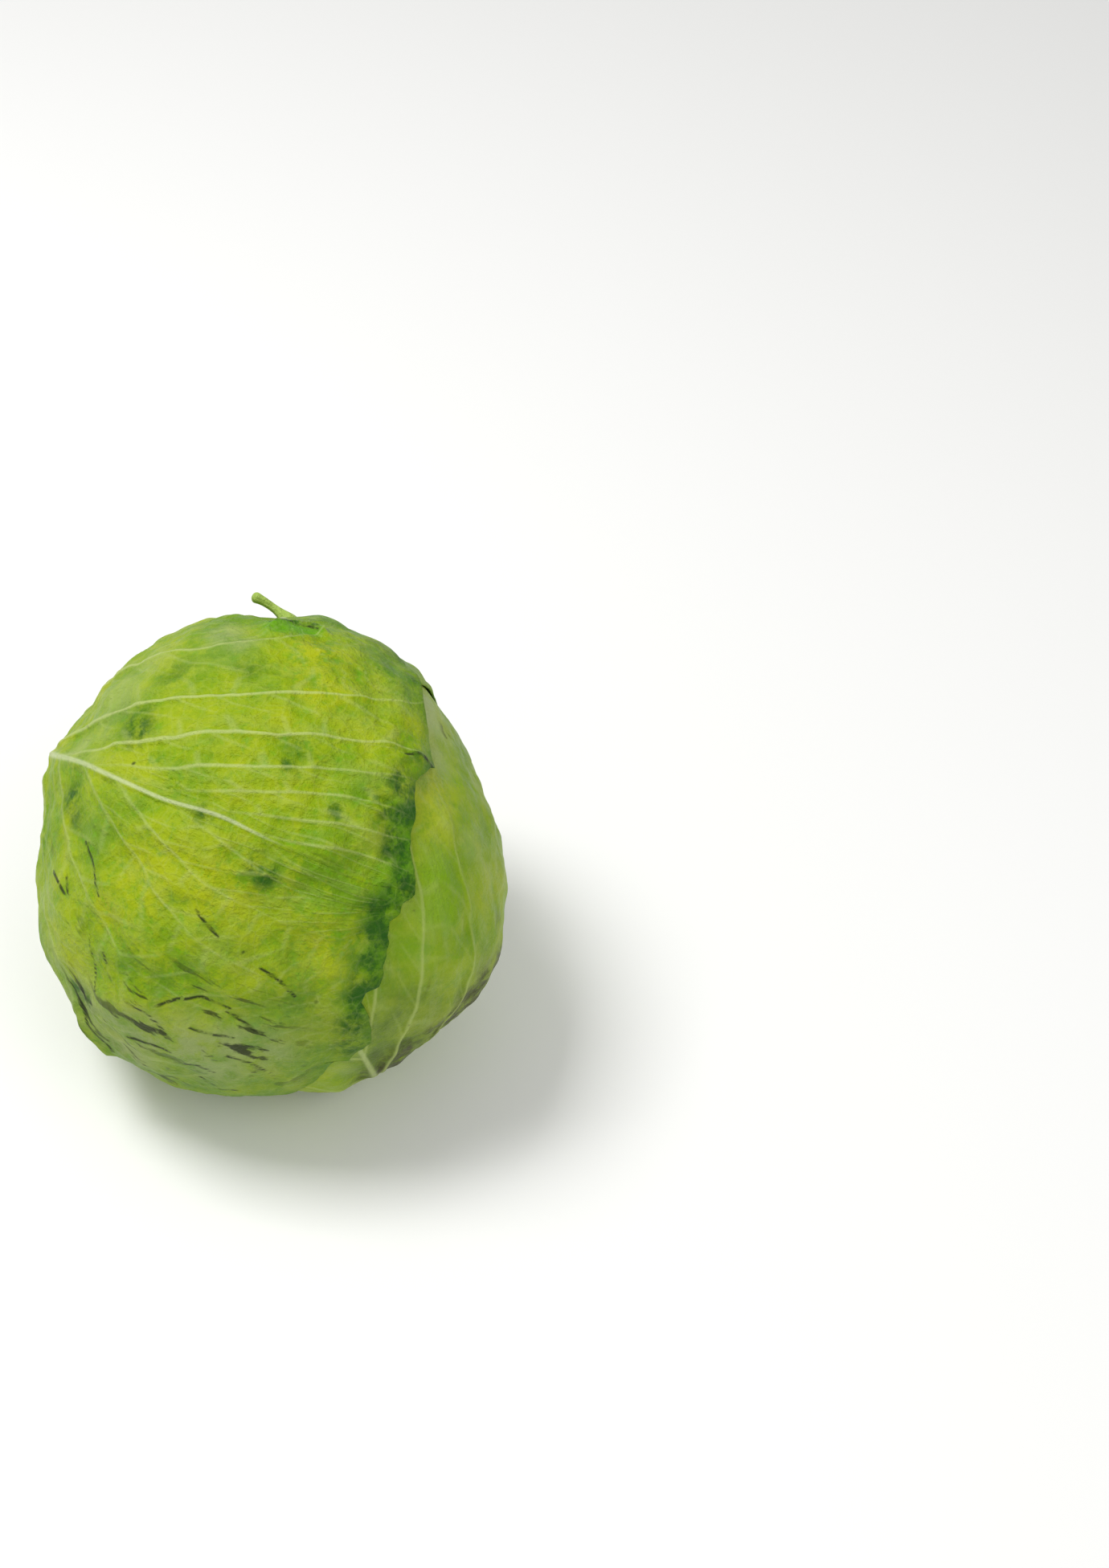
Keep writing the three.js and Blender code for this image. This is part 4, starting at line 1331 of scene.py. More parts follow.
    def _masks(
        self, outer: list[dict[str, Array]], inner: list[dict[str, Array]], ring: Array
    ) -> dict[str, Array]:
        """Masks of the whole leaf, with the patches of colour, wear, painted shade and painted
        light.

        Args:
            outer: halves of the outer grid.
            inner: halves of the inner grid.
            ring: numbers of the outer ring.

        Returns:
            Values for every vertex, by name.
        """
        masks = {
            key: self._per_vertex(outer, inner, ring, key)
            for key in ("rib", "vein", "spine", "edge", "pale")
        }
        directions = self._per_vertex(outer, inner, ring, "direction")
        for name in PATCH_NAMES:
            masks[name] = patch_mask(directions, self.marks.patches.get(name, ()))
        # Thin lines: scratched ones, and painted shade beside folds.
        masks["scratch_and_fold_shade"] = np.zeros(len(directions))
        for line in self.marks.scratch_and_fold_shade_lines:
            near = bell(line_distance(directions, line), SCRATCH_AND_FOLD_SHADE_HALF_WIDTH)
            masks["scratch_and_fold_shade"] = np.maximum(masks["scratch_and_fold_shade"], near)
        return masks


def linear(hex_colour: str) -> tuple[float, float, float, float]:
    """Turns an sRGB hex colour to linear.

    Args:
        hex_colour: as #rrggbb.

    Returns:
        Red, green, blue and 1.
    """
    values = [int(hex_colour[i:i + 2], 16) / 255 for i in (1, 3, 5)]
    turned = [v / 12.92 if v <= 0.04045 else ((v + 0.055) / 1.055) ** 2.4 for v in values]
    return (*turned, 1.0)


def add_node(tree: bpy.types.NodeTree, kind: str, settings: dict, links: dict) -> bpy.types.Node:
    """Adds a node.

    Args:
        tree: the node tree.
        kind: the node's type name.
        settings: attributes of the node, and values of its inputs by name or number.
        links: sockets to link, by the name or number of the input that takes them.

    Returns:
        The node.
    """
    node = tree.nodes.new(kind)
    for key, value in settings.items():
        if isinstance(key, str) and hasattr(node, key):
            setattr(node, key, value)
        else:
            node.inputs[key].default_value = value
    for key, socket in links.items():
        tree.links.new(socket, node.inputs[key])
    return node


@dataclass(frozen=True)
class Noise:
    """A cloudy pattern.

    Args:
        size: size of its patches in millimetres.
        detail: number of finer layers.
        rough: how strong each finer layer is.
        squeeze: how much shorter a length along the ribs counts, on the blade's own chart,
            or 0 for a pattern on Object coordinates.
    """

    size: float
    detail: float
    rough: float
    squeeze: float = 0.0


@dataclass(frozen=True)
class Window:
    """A pattern or mask taken smoothly from a span of its values to a span of strengths.

    Args:
        source: name of the pattern or mask.
        low: value that gives the first strength.
        high: value that gives the last strength.
        first: strength up to low.
        last: strength from high on.
    """

    source: str
    low: float
    high: float
    first: float
    last: float


@dataclass(frozen=True)
class Coat:
    """A colour laid over those under it, as strongly as the product of its windows."""

    colour: str
    windows: tuple[Window, ...]


@dataclass(frozen=True)
class Relief:
    """Fine relief of the skin: a window, its strength and its depth in millimetres."""

    window: Window
    strength: float
    depth: float


# Sizes of the patterns on a real leaf, in millimetres. The skin's own grain is finer than
# "grain" and would not show, so it is drawn as coarse as that.
LEAF_NOISES = {
    "cloud": Noise(26, 6, 0.66),
    "group": Noise(27, 2, 0.5),
    "mottle": Noise(8, 5, 0.66),
    "blotch": Noise(3.2, 4, 0.6),
    "grain": Noise(1.5, 4, 0.65),
    "streak": Noise(2.8, 4, 0.55, squeeze=0.1),
    "brush": Noise(6.5, 5, 0.62, squeeze=0.34),
}


@dataclass(frozen=True)
class LeafFinish:
    """Cabbage leaf, grown: a waxy green skin over pale ribs, with a net of fine veins.

    The wax bloom makes the gloss soft and broad, and the thin blade lets a little light
    through.

    Args:
        name: the material's name.
        deep: the darkest of the three greens of the base, and so on to light.
        yellow: where the leaf has aged.
        dark: bruised places and the dark margin, and painted shade in folds and along a lower rim.
        fresh: the clear green between the marks.
        painted_shade: painted shade.
        bloom: wax that has stayed on.
        rib: the side ribs, side veins and the net.
        spine: the crest of the midrib.
        pale: the blanched part near the stem.
        scuff: cracks, scratched lines and specks, and painted shade lines beside folds.
        margin: the rim of the blade.
        net_strength: how much of the net's colour shows.
        roughness: middle roughness of the wax.
        relief: how strong the fine relief is.
        net_cell: millimetres across a mesh of the net.
        net_bend: how far the net is bent, in millimetres.
        net_bend_size: size of those bends in millimetres.
        speck_cell: millimetres between specks.
        greens_at: values of the cloud pattern that take the three greens.
        gloss_spread: how far the roughness goes below and above its middle.
        ior: refraction of the wax.
        gloss: specular level.
        glow: weight of the light that passes through the skin.
        glow_depth: how deep that light goes, in millimetres.
        glow_colour: how far its red, green and blue go.
    """

    name: str
    deep: str
    middle: str
    light: str
    yellow: str
    dark: str
    fresh: str
    painted_shade: str
    bloom: str
    rib: str
    spine: str
    pale: str
    scuff: str
    margin: str
    net_strength: float = 0.1
    roughness: float = 0.48
    relief: float = 1.0
    net_cell: float = 4.6
    net_bend: float = 3.5
    net_bend_size: float = 9.0
    speck_cell: float = 7.5
    greens_at: tuple[float, float, float] = (0.38, 0.5, 0.64)
    gloss_spread: tuple[float, float] = (0.08, 0.12)
    ior: float = 1.4
    gloss: float = 0.2
    glow: float = 0.03
    glow_depth: float = 1.0
    glow_colour: tuple[float, float, float] = (1.0, 1.0, 0.3)

    def make(self) -> bpy.types.Material:
        """The material: a base of three greens, coats of colour, painted shade and painted light
        over it, and a fine relief.

        Returns:
            The material, on Object coordinates and on the blade's own chart and masks.
        """
        material = bpy.data.materials.new(self.name)
        material.use_nodes = True
        tree = material.node_tree
        tree.nodes.clear()
        patterns = self._patterns(tree)
        ramp = add_node(tree, "ShaderNodeValToRGB", {}, {"Fac": patterns["cloud"]})
        deep_at, middle_at, light_at = self.greens_at
        stops = ramp.color_ramp.elements
        stops[0].position, stops[0].color = deep_at, linear(self.deep)
        stops[1].position, stops[1].color = light_at, linear(self.light)
        stops.new(middle_at).color = linear(self.middle)
        colour = ramp.outputs["Color"]
        for coat in self._coats():
            amount = self._strength(tree, patterns, coat.windows)
            colour = add_node(
                tree, "ShaderNodeMix", {"data_type": "RGBA", 7: linear(coat.colour)},
                {0: amount, 6: colour},
            ).outputs[2]
        facing: dict[str, bpy.types.NodeSocket] = {}
        for relief in self._reliefs():
            height = self._strength(tree, patterns, (relief.window,))
            bump = add_node(
                tree, "ShaderNodeBump",
                {"Strength": relief.strength * self.relief, "Distance": relief.depth * MM},
                {"Height": height, **facing},
            )
            facing = {"Normal": bump.outputs["Normal"]}
        below, above = self.gloss_spread
        gloss = Window("mottle", 0.3, 0.7, self.roughness - below, self.roughness + above)
        shader = add_node(
            tree, "ShaderNodeBsdfPrincipled",
            {
                "IOR": self.ior, "Specular IOR Level": self.gloss,
                "Subsurface Weight": self.glow, "Subsurface Scale": self.glow_depth * MM,
                "Subsurface Radius": self.glow_colour,
            },
            {
                "Base Color": colour, "Roughness": self._strength(tree, patterns, (gloss,)),
                **facing,
            },
        )
        add_node(tree, "ShaderNodeOutputMaterial", {}, {0: shader.outputs["BSDF"]})
        return material

    def _patterns(self, tree: bpy.types.NodeTree) -> dict[str, bpy.types.NodeSocket]:
        """Adds every pattern and mask that the coats and reliefs name.

        Args:
            tree: the node tree.

        Returns:
            The masks that the mesh carries, the noises, the net of veins, which is the
            distance to the edge of bent cells, and the specks, the distance to their middles.
        """
        place = add_node(tree, "ShaderNodeTexCoord", {}, {})
        where = place.outputs["Object"]
        patterns = {
            name: add_node(
                tree, "ShaderNodeAttribute", {"attribute_name": name}, {}
            ).outputs["Fac"]
            for name in MASK_NAMES
        }
        for name, noise in LEAF_NOISES.items():
            spot = where
            if noise.squeeze:
                spot = add_node(
                    tree, "ShaderNodeMapping", {"Scale": (1.0, noise.squeeze, 1.0)},
                    {"Vector": place.outputs["UV"]},
                ).outputs[0]
            patterns[name] = add_node(
                tree, "ShaderNodeTexNoise",
                {"Scale": 1 / (noise.size * MM), "Detail": noise.detail, "Roughness": noise.rough},
                {"Vector": spot},
            ).outputs["Fac"]
        push = add_node(
            tree, "ShaderNodeTexNoise",
            {"Scale": 1 / (self.net_bend_size * MM), "Detail": 4.0}, {"Vector": where},
        ).outputs["Color"]
        shift = add_node(
            tree, "ShaderNodeVectorMath", {"operation": "SCALE", "Scale": self.net_bend * MM},
            {0: push},
        ).outputs[0]
        bent = add_node(
            tree, "ShaderNodeVectorMath", {"operation": "ADD"}, {0: where, 1: shift}
        ).outputs[0]
        for name, cell, feature in (
            ("net", self.net_cell, "DISTANCE_TO_EDGE"), ("speck", self.speck_cell, "F1")
        ):
            patterns[name] = add_node(
                tree, "ShaderNodeTexVoronoi",
                {"feature": feature, "Scale": 1 / (cell * MM)}, {"Vector": bent},
            ).outputs["Distance"]
        return patterns

    @staticmethod
    def _strength(
        tree: bpy.types.NodeTree, patterns: dict[str, bpy.types.NodeSocket],
        windows: tuple[Window, ...],
    ) -> bpy.types.NodeSocket:
        """The product of windows on the patterns.

        Args:
            tree: the node tree.
            patterns: the patterns.
            windows: the windows.

        Returns:
            The socket that gives it.
        """
        product = None
        for window in windows:
            value = add_node(
                tree, "ShaderNodeMapRange",
                {
                    "interpolation_type": "SMOOTHSTEP", "From Min": window.low,
                    "From Max": window.high, "To Min": window.first, "To Max": window.last,
                },
                {"Value": patterns[window.source]},
            ).outputs["Result"]
            product = value if product is None else add_node(
                tree, "ShaderNodeMath", {"operation": "MULTIPLY"}, {0: product, 1: value}
            ).outputs[0]
        return product

    def _coats(self) -> tuple[Coat, ...]:
        """The colours from the skin outwards: mottling, patches, painted shade and light among
        them, veins and ribs, then wear and painted shade beside folds.
        """
        net = self.net_strength
        return (
            Coat(self.yellow, (
                Window("yellow", 0, 1, 0, 1), Window("mottle", 0.36, 0.6, 0.35, 1))),
            Coat(self.light, (Window("mottle", 0.54, 0.68, 0, 0.55),)),
            Coat(self.deep, (Window("mottle", 0.3, 0.46, 0.8, 0),)),
            Coat(self.fresh, (
                Window("blotch", 0.54, 0.66, 0, 0.5), Window("cloud", 0.4, 0.6, 1, 0.2))),
            Coat(self.pale, (Window("brush", 0.44, 0.7, 0, 0.22),)),
            # Painted shade: a cooler, darker green in soft patches.
            Coat(self.painted_shade, (Window("painted_shade", 0, 1, 0, 1), Window("cloud", 0.3, 0.6, 1, 0.4))),
            Coat(self.bloom, (
                Window("bloom", 0, 1, 0, 0.9), Window("mottle", 0.38, 0.58, 0.3, 1))),
            Coat(self.pale, (Window("pale", 0, 1, 0, 0.85),)),
            # Painted light: the pale colour in soft patches.
            Coat(self.pale, (Window("painted_light", 0, 1, 0, 0.9),)),
            Coat(self.margin, (Window("edge", 0, 0.14, 0.9, 0), Window("mottle", 0, 1, 0, 1))),
            Coat(self.fresh, (Window("fresh", 0.1, 0.8, 0, 0.9),)),
            # Dark: bruises and the dark margin, and painted shade in folds and along the pale
            # leaf's lower rim.
            Coat(self.dark, (
                Window("dark", 0, 0.8, 0, 0.92), Window("mottle", 0.4, 0.62, 1, 0.22))),
            Coat(self.dark, (
                Window("dark", 0.1, 0.7, 0, 0.4), Window("blotch", 0.5, 0.62, 0, 1))),
            Coat(self.rib, (
                Window("net", 0, 0.12, 1, 0), Window("cloud", 0.3, 0.7, 0.3 * net, net))),
            Coat(self.rib, (Window("vein", 0.1, 1, 0, 0.2),)),
            Coat(self.rib, (Window("rib", 0.12, 0.85, 0, 0.7),)),
            Coat(self.spine, (Window("spine", 0.1, 0.95, 0, 0.75),)),
            Coat(self.scuff, (Window("scuff", 0, 1, 0, 1), Window("streak", 0.56, 0.62, 0, 0.9))),
            # Scratched lines and painted shade beside folds, in the scuff colour.
            Coat(self.scuff, (
                Window("scratch_and_fold_shade", 0.5, 0.95, 0, 1), Window("blotch", 0.38, 0.52, 0.25, 0.95))),
            Coat(self.scuff, (
                Window("speck", 0.04, 0.16, 1, 0), Window("blotch", 0.44, 0.58, 0, 1),
                Window("group", 0.56, 0.68, 0, 0.8))),
        )

    @staticmethod
    def _reliefs() -> tuple[Relief, ...]:
        """The net of veins, the brushed wrinkles, the small puckers and the grain."""
        return (
            Relief(Window("net", 0, 0.3, 1, 0), 0.3, 0.4),
            Relief(Window("brush", 0.42, 0.7, 0, 1), 0.45, 1.0),
            Relief(Window("mottle", 0.3, 0.7, 0, 1), 0.7, 1.0),
            Relief(Window("grain", 0.2, 0.8, 0, 1), 0.5, 0.25),
        )


# The front leaf: a dark folded margin, wax and cracks at the lower left, scratched lines, painted
# shade along folds and on its lower side, painted light at the upper left and left rim.
FRONT_MARKS = Marks(
    patches={
        "dark": spots(
            (135.7, 46.8, 7, 0.8), (139.8, 44.9, 5, 0.6), (164.1, 56.5, 6, 0.8),
            (168.2, 53.7, 6, 0.6), (97, 47, 7, 0.45), (118.2, 53, 8, 0.4),
            (57.7, 70.1, 7, 0.5), (63.3, 70.6, 6, 0.5), (51.4, 61.8, 5, 0.5),
            (28.5, 34.1, 6, 0.9), (23.8, 36.1, 6, 0.9), (17.1, 36.9, 7, 0.9),
            (6.8, 30.8, 9, 0.9), (13.6, 29.2, 6, 0.6), (353.1, 33.6, 8, 0.9),
            (346.1, 32.1, 8, 0.9), (338.8, 31.3, 8, 0.95), (330.5, 31.5, 9, 1),
            (323, 32.7, 9, 1), (315.9, 35.2, 9, 1), (309.6, 38.5, 9, 0.95),
            (302.1, 41.2, 8, 0.9), (297.1, 45.8, 8, 0.85), (292.9, 53.3, 8, 0.85),
            (223.2, 3.8, 5, 0.8), (256.4, 5.1, 5, 0.9), (33.5, 16.7, 3.5, 0.7),
            (80.5, 20.3, 3, 0.7), (76.6, 24.5, 5, 0.5), (149.8, 17.3, 4, 0.7),
            (215.4, 64.6, 5, 0.8), (218.8, 63.4, 5, 0.7),
            # Painted shade along the fold at the torn corner.
            (34.1, 42.4, 2.5, 0.7), (31.1, 45.2, 2.5, 0.9), (28.1, 47.3, 3, 1),
            (22.4, 27.4, 4, 0.8), (19.5, 27.5, 3, 0.9), (28.9, 27.1, 3, 0.7),
            (1.1, 27.3, 5, 0.7), (331.8, 25.3, 5, 0.7), (321.4, 29.7, 6, 0.8),
            (14.2, 32.1, 7, 0.9), (5.6, 33.8, 6, 0.9), (359.4, 32.7, 6, 0.9),
            # Painted shade along the fold at the top edge.
            (89.5, 65.5, 1.8, 0.9), (87, 67.5, 1.8, 1), (84.5, 68.8, 1.8, 1),
            (82, 69, 1.8, 1), (79.5, 68, 1.8, 0.9),
        ),
        "fresh": spots(
            (88.6, 62.8, 6, 1), (85.1, 64.4, 6, 1), (81.4, 63.8, 6, 0.9),
            (90.6, 60.9, 4, 0.7), (15, 31, 9, 0.7), (4, 31, 9, 0.7), (353, 30, 9, 0.7),
            (340, 29, 9, 0.7), (327, 30, 9, 0.6), (313, 34, 9, 0.6), (300, 42, 9, 0.6),
        ),
        "crumple": spots(
            (25.7, 33.1, 9, 1), (16.2, 35.2, 10, 1), (7.4, 32.8, 10, 1),
            (357.6, 30.4, 10, 1), (347.5, 31.2, 10, 1), (336.9, 31.1, 10, 1),
            (324.3, 32, 10, 1), (312.8, 34.6, 10, 0.9), (304.2, 39.5, 9, 0.8),
            (235.7, 60, 16, 0.5), (221, 64, 10, 0.6),
        ),
        "bloom": spots(
            (221.3, 64, 12, 0.9), (226.6, 59.5, 12, 0.8), (235.7, 55.2, 14, 0.9),
            (247.5, 53, 16, 0.9), (258.6, 48.4, 14, 0.8), (234.7, 68, 14, 0.9),
            (268.1, 50, 14, 0.7), (255.5, 58.2, 14, 0.8), (102, 61.8, 10, 0.7),
            (98.2, 56.3, 8, 0.6),
        ),
        "scuff": spots(
            (217.8, 66.8, 14, 1), (227.8, 62.1, 18, 1), (235.3, 48.6, 22, 1),
            (248.4, 47.6, 22, 1), (260.9, 47.9, 20, 1), (237.9, 73.4, 18, 1),
            (270.4, 56.8, 14, 0.8), (237.9, 38.3, 14, 0.8), (188, 56.3, 8, 0.7),
            (199.3, 55.2, 8, 0.7), (177.3, 61.5, 6, 0.5), (257.9, 33.4, 12, 0.7),
        ),
        "yellow": spots(
            (76.8, 52.5, 14, 1), (73.2, 42, 12, 1), (66.6, 45.7, 9, 0.7),
            (192.6, 30.8, 18, 0.9), (211.1, 13.7, 18, 0.9), (178.4, 18.9, 12, 0.6),
            (78.1, 16, 14, 0.5), (296, 25.2, 16, 0.7), (104.9, 26.5, 16, 0.5),
            (197.9, 42.1, 12, 0.7), (87.5, 29.6, 14, 0.5), (295.1, 8.9, 10, 0.4),
        ),
        # Painted shade, mostly on the lower side of the leaf.
        "painted_shade": spots(
            (277.9, 46.3, 20, 1), (286.7, 41.5, 14, 0.8), (268.4, 63.3, 16, 0.9),
            (294.2, 50.6, 10, 0.8), (62, 62.7, 12, 0.8), (51.4, 54.1, 8, 0.6),
            (282, 62, 16, 1), (255, 68, 16, 0.8), (268, 74, 16, 0.9), (245, 74, 14, 0.7),
            (135.8, 55.1, 10, 0.5), (247.7, 22.4, 14, 0.4),
        ),
        # Painted light at the upper left and along the left rim.
        "painted_light": spots(
            (151, 62, 8, 0.8), (151, 54, 5, 0.5), (132.8, 62, 14, 0.7),
            (122.4, 64, 12, 0.6), (144.1, 58, 9, 0.5), (191.6, 67, 12, 0.6),
            (204, 69, 12, 0.6), (214.5, 73, 10, 0.5),
        ),
    },
    creases=(
        Crease(((36.8, 38.1), (34.1, 42.4), (29.7, 45.8), (27.3, 47.8)), 1.2, 1.1),
        Crease(
            ((91.7, 60.1), (88, 66), (84.5, 69.2), (81, 69.4), (78, 67.2), (76.5, 63.6)),
            1.8, 1.6,
        ),
        Crease(((90.6, 59.2), (84.2, 56.9), (78.2, 61.7)), 0.8, 1.5),
        Crease(((27.2, 28.9), (28.5, 34.1), (29, 39.5))),
        Crease(((8.2, 29.1), (14, 32.5), (17.4, 36.2))),
        Crease(((355.8, 29.4), (0.9, 34.4))),
        Crease(((343.5, 24.5), (347.4, 29.1), (351.5, 33.8))),
        Crease(((307.2, 36.1), (314, 37))),
        Crease(((323.7, 29.7), (330.2, 32.1))),
        Crease(((297.1, 43.4), (302, 44.2))),
        Crease(((21.9, 25.4), (21.3, 31.8), (14.5, 35.8))),
        Crease(((27.3, 24.4), (20, 26.7), (14.9, 30.5)), 1.0, 1.2),
        Crease(((43.3, 26.4), (32.8, 28.3), (24.9, 31.7)), 0.8, 1.2),
        Crease(((218, 69.5), (222.1, 72.6), (226.5, 75.2), (230.8, 77.1)), 2.2, 2.2),
    ),
    scratch_and_fold_shade_lines=(
        ((217.2, 21), (227.7, 21.2), (236.8, 21.9)),
        ((264.5, 26.3), (273.9, 29.6), (279.3, 34.3)),
        ((204.5, 49.7), (212.5, 52.5), (217.8, 56.4)),
        ((176.2, 48.4), (184.8, 44.3), (194, 43.4)),
        ((233, 44.9), (237.4, 40), (244.3, 37.3), (255.3, 37.8)),
        ((254.5, 38.9), (261.2, 41.1), (267.2, 43.3)),
        ((232, 59.7), (238.9, 56.9), (243.1, 56.8)),
        ((245.2, 60.7), (251.5, 58.4), (255.8, 60.7)),
        ((257.5, 52.6), (262.7, 53.9)),
        ((224.8, 49.1), (232.3, 48), (238.5, 50.5)),
        ((215, 64.4), (220, 61.4)),
        ((186.1, 55.1), (191.1, 54.5)),
        ((245.3, 46.3), (251, 46.1), (258.1, 45.7)),
        ((263.8, 53.7), (268.3, 56.8), (271.4, 61.8)),
        ((210, 46.3), (213.9, 47.5)),
        ((252.1, 65.3), (257.5, 68.9), (262.5, 67.4)),
        # These three lines are painted shade beside folds: at the top edge, the torn corner and
        # the lower left flap.
        ((89.5, 65), (85.5, 67.6), (81.5, 67.8), (78.6, 65.6)),
        ((36.8, 39.6), (34.6, 42.8), (31.6, 45.4), (28.2, 47.8)),
        ((218.3, 67.4), (222.8, 70), (227.2, 72.4), (231.5, 74.4)),
        ((184.6, 60.8), (187.9, 57.4), (190.7, 55.9)),
    ),
)
# The pale leaf: painted shade along its lower right rim and lower side, painted light at the upper
# right, a yellowed edge at the right and a few specks.
PALE_MARKS = Marks(patches={
    # Painted shade along the lower right rim.
    "dark": spots(
        (314, 78, 13, 1), (325, 78, 12, 1), (304, 79, 11, 1), (297, 81, 9, 0.9),
        (334, 78, 10, 0.8), (314, 86, 14, 1), (328, 88, 12, 0.8), (343, 69.2, 5, 0.4),
        (300, 86, 12, 0.9), (320, 71, 8, 0.5), (321.7, 77, 15, 1), (328.1, 73, 10, 0.8),
        (312, 74, 12, 0.9), (303, 74, 11, 0.9), (296.3, 75, 9, 0.9),
    ),
    "fresh": spots((353.1, 43.4, 14, 0.6), (342.1, 41.9, 16, 0.6), (327.3, 41.6, 14, 0.5)),
    "yellow": spots((22.5, 45, 14, 1), (16.9, 41.6, 12, 0.8), (8.5, 43.6, 12, 0.7)),
    "scuff": spots(
        (34.5, 66.3, 5, 0.9), (30.7, 57.9, 5, 0.8), (27.5, 58.2, 4, 0.7),
        (321.3, 53.9, 5, 0.6),
    ),
    # Painted shade on the lower right side.
    "painted_shade": spots(
        (306.7, 58.3, 22, 1), (299.9, 64.7, 16, 1), (298, 80.7, 14, 0.8),
        (314.2, 60, 14, 0.9), (320, 68, 14, 0.8), (330, 66, 12, 0.6),
    ),
    # Painted light at the upper right.
    "painted_light": spots((45, 60, 14, 0.8), (55, 68, 12, 0.7), (30.4, 55.3, 9, 0.5)),
})


@dataclass
class WrapperLeaves:
    """The five wrapper leaves, each one closed blade, dressed in one of three finishes."""

    form: HeadForm
    stack: Stack

    def finishes(self) -> dict[str, tuple[LeafFinish, Slot]]:
        """The finish and slot of each leaf."""
        front = LeafFinish(
            name="Cabbage leaf, outer, mottled",
            deep="#648c04", middle="#829f06", light="#9bac12", yellow="#a3ae08",
            dark="#1e5406", fresh="#5f9a04", painted_shade="#557e30", bloom="#94a466", rib="#b3c078",
            spine="#bfca98", pale="#9daf58", scuff="#242c0e", margin="#4a7810",
        )
        pale = LeafFinish(
            name="Cabbage leaf, smooth, pale",
            deep="#73960e", middle="#86a216", light="#97aa28", yellow="#a6b428",
            # Its dark green and its cooler green are painted shade on the lower rim and lower
            # side.
            dark="#3a3a16", fresh="#6f9c0c", painted_shade="#55692a", bloom="#8a985c", rib="#a9ba66",
            spine="#aebd78", pale="#aebc84", scuff="#3c3412", margin="#86a03c",
            net_strength=0.05, roughness=0.42, relief=0.7,
        )
        plain = LeafFinish(
            name="Cabbage leaf, wrapper",
            deep="#5f8810", middle="#7c9c1c", light="#92a930", yellow="#a2b028",
            dark="#2c5a10", fresh="#6a9612", painted_shade="#6b8c40", bloom="#88985c", rib="#b0c07a",
            spine="#bac892", pale="#a7b77a", scuff="#2e3416", margin="#6a8e28",
        )
        return {
            "wrapper_leaf_right": (plain, Slot.WRAPPER),
            "wrapper_leaf_lower_left": (plain, Slot.WRAPPER),
            "wrapper_leaf_pale": (pale, Slot.PALE),
            "wrapper_leaf_top": (plain, Slot.WRAPPER),
            "wrapper_leaf_front": (front, Slot.FRONT),
        }

    def build(self) -> list[bpy.types.Object]:
        """Builds and dresses every leaf."""
        finishes = self.finishes()
        marks = {"wrapper_leaf_front": FRONT_MARKS, "wrapper_leaf_pale": PALE_MARKS}
        made: dict[str, bpy.types.Material] = {}
        pieces = []
        for order, shape in enumerate(self.stack.leaves):
            builder = LeafBuilder(shape, order, self.stack, marks=marks.get(shape.name, Marks()))
            obj = builder.build().to_object(shape.name.replace("wrapper_leaf", "leaf"), self.form)
            finish, slot = finishes[shape.name]
            if finish.name not in made:
                made[finish.name] = finish.make()
            pieces.append(dress(obj, made[finish.name], shape.name))
        return pieces


def dress(
    obj: bpy.types.Object, material: bpy.types.Material, node: str
) -> bpy.types.Object:
    """Gives a piece its material, rides it on the head and lets it stand for its solid.

    Args:
        obj: the piece.
        material: its material.
        node: name of the solid.

    Returns:
        The piece.
    """
    obj.data.materials.append(material)
    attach(obj, "root")
    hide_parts(node)
    return obj


@dataclass
class InnerHead:
    """The dense head under the wrappers, with its own leaves' stalks where it lies open."""

    form: HeadForm
    stack: Stack
    around: int = 200
    down: int = 110
    clearance: float = 0.5
    stalk_bearings: tuple[float, ...] = (28, 120, 184, 252, 322)
    stalk_height: float = 3.0
    stalk_width: float = 7.0
    stalk_reach: tuple[float, float] = (0.05, 0.3)
    paleness: float = 0.6

    def build(self) -> bpy.types.Object:
        """The head: radius packed - clearance, + stalks where no wrapper leaf lies over them.

        Returns:
            The object, closed at both poles.
        """
        bearing = np.linspace(0, 360, self.around, endpoint=False)
        arc = np.linspace(0, 180, self.down + 1)[1:-1]
        rings = from_crown(*np.meshgrid(bearing, arc))
        north, south = np.array([0, 0, 1.0]), np.array([0, 0, -1.0])
        directions, quads, triangles = capped_tube(rings, north, south, turn=1)
        covers = self.stack.covers(directions)
        is_open = self.stack.openness(covers, -1)
        stalks = np.zeros(len(directions))
        for place in self.stalk_bearings:
            side, out = from_crown(place + 90, 90), from_crown(place, 90)
            reach = smooth_step(*self.stalk_reach, directions @ out)
            lift = reach * bell(directions @ side * TYPICAL_RADIUS, self.stalk_width)
            stalks = np.maximum(stalks, self.stalk_height * lift)
        radius = self.form.packed(directions, sum(covers)) - self.clearance + is_open * stalks
        points = directions * radius[:, None]
        masks = plain_masks(len(points), pale=self.paleness)
        masks["rib"] = np.clip(stalks / self.stalk_height, 0, 1) ** 2
        surface = Surface(points, quads, triangles, masks, points[:, :2])
        obj = surface.to_object("inner_leaves", self.form)
        finish = LeafFinish(
            name="Cabbage leaf, inner, blanched",
            deep="#a3b56c", middle="#b4c381", light="#c6d09a", yellow="#cbd49a",
            dark="#8a9c58", fresh="#a5b870", painted_shade="#a9ba80", bloom="#b4be90", rib="#d6dcb8",
            spine="#d6dcb8", pale="#c9d3a6", scuff="#7d8453", margin="#b9c68a",
        )
        return dress(obj, finish.make(), "inner_head")


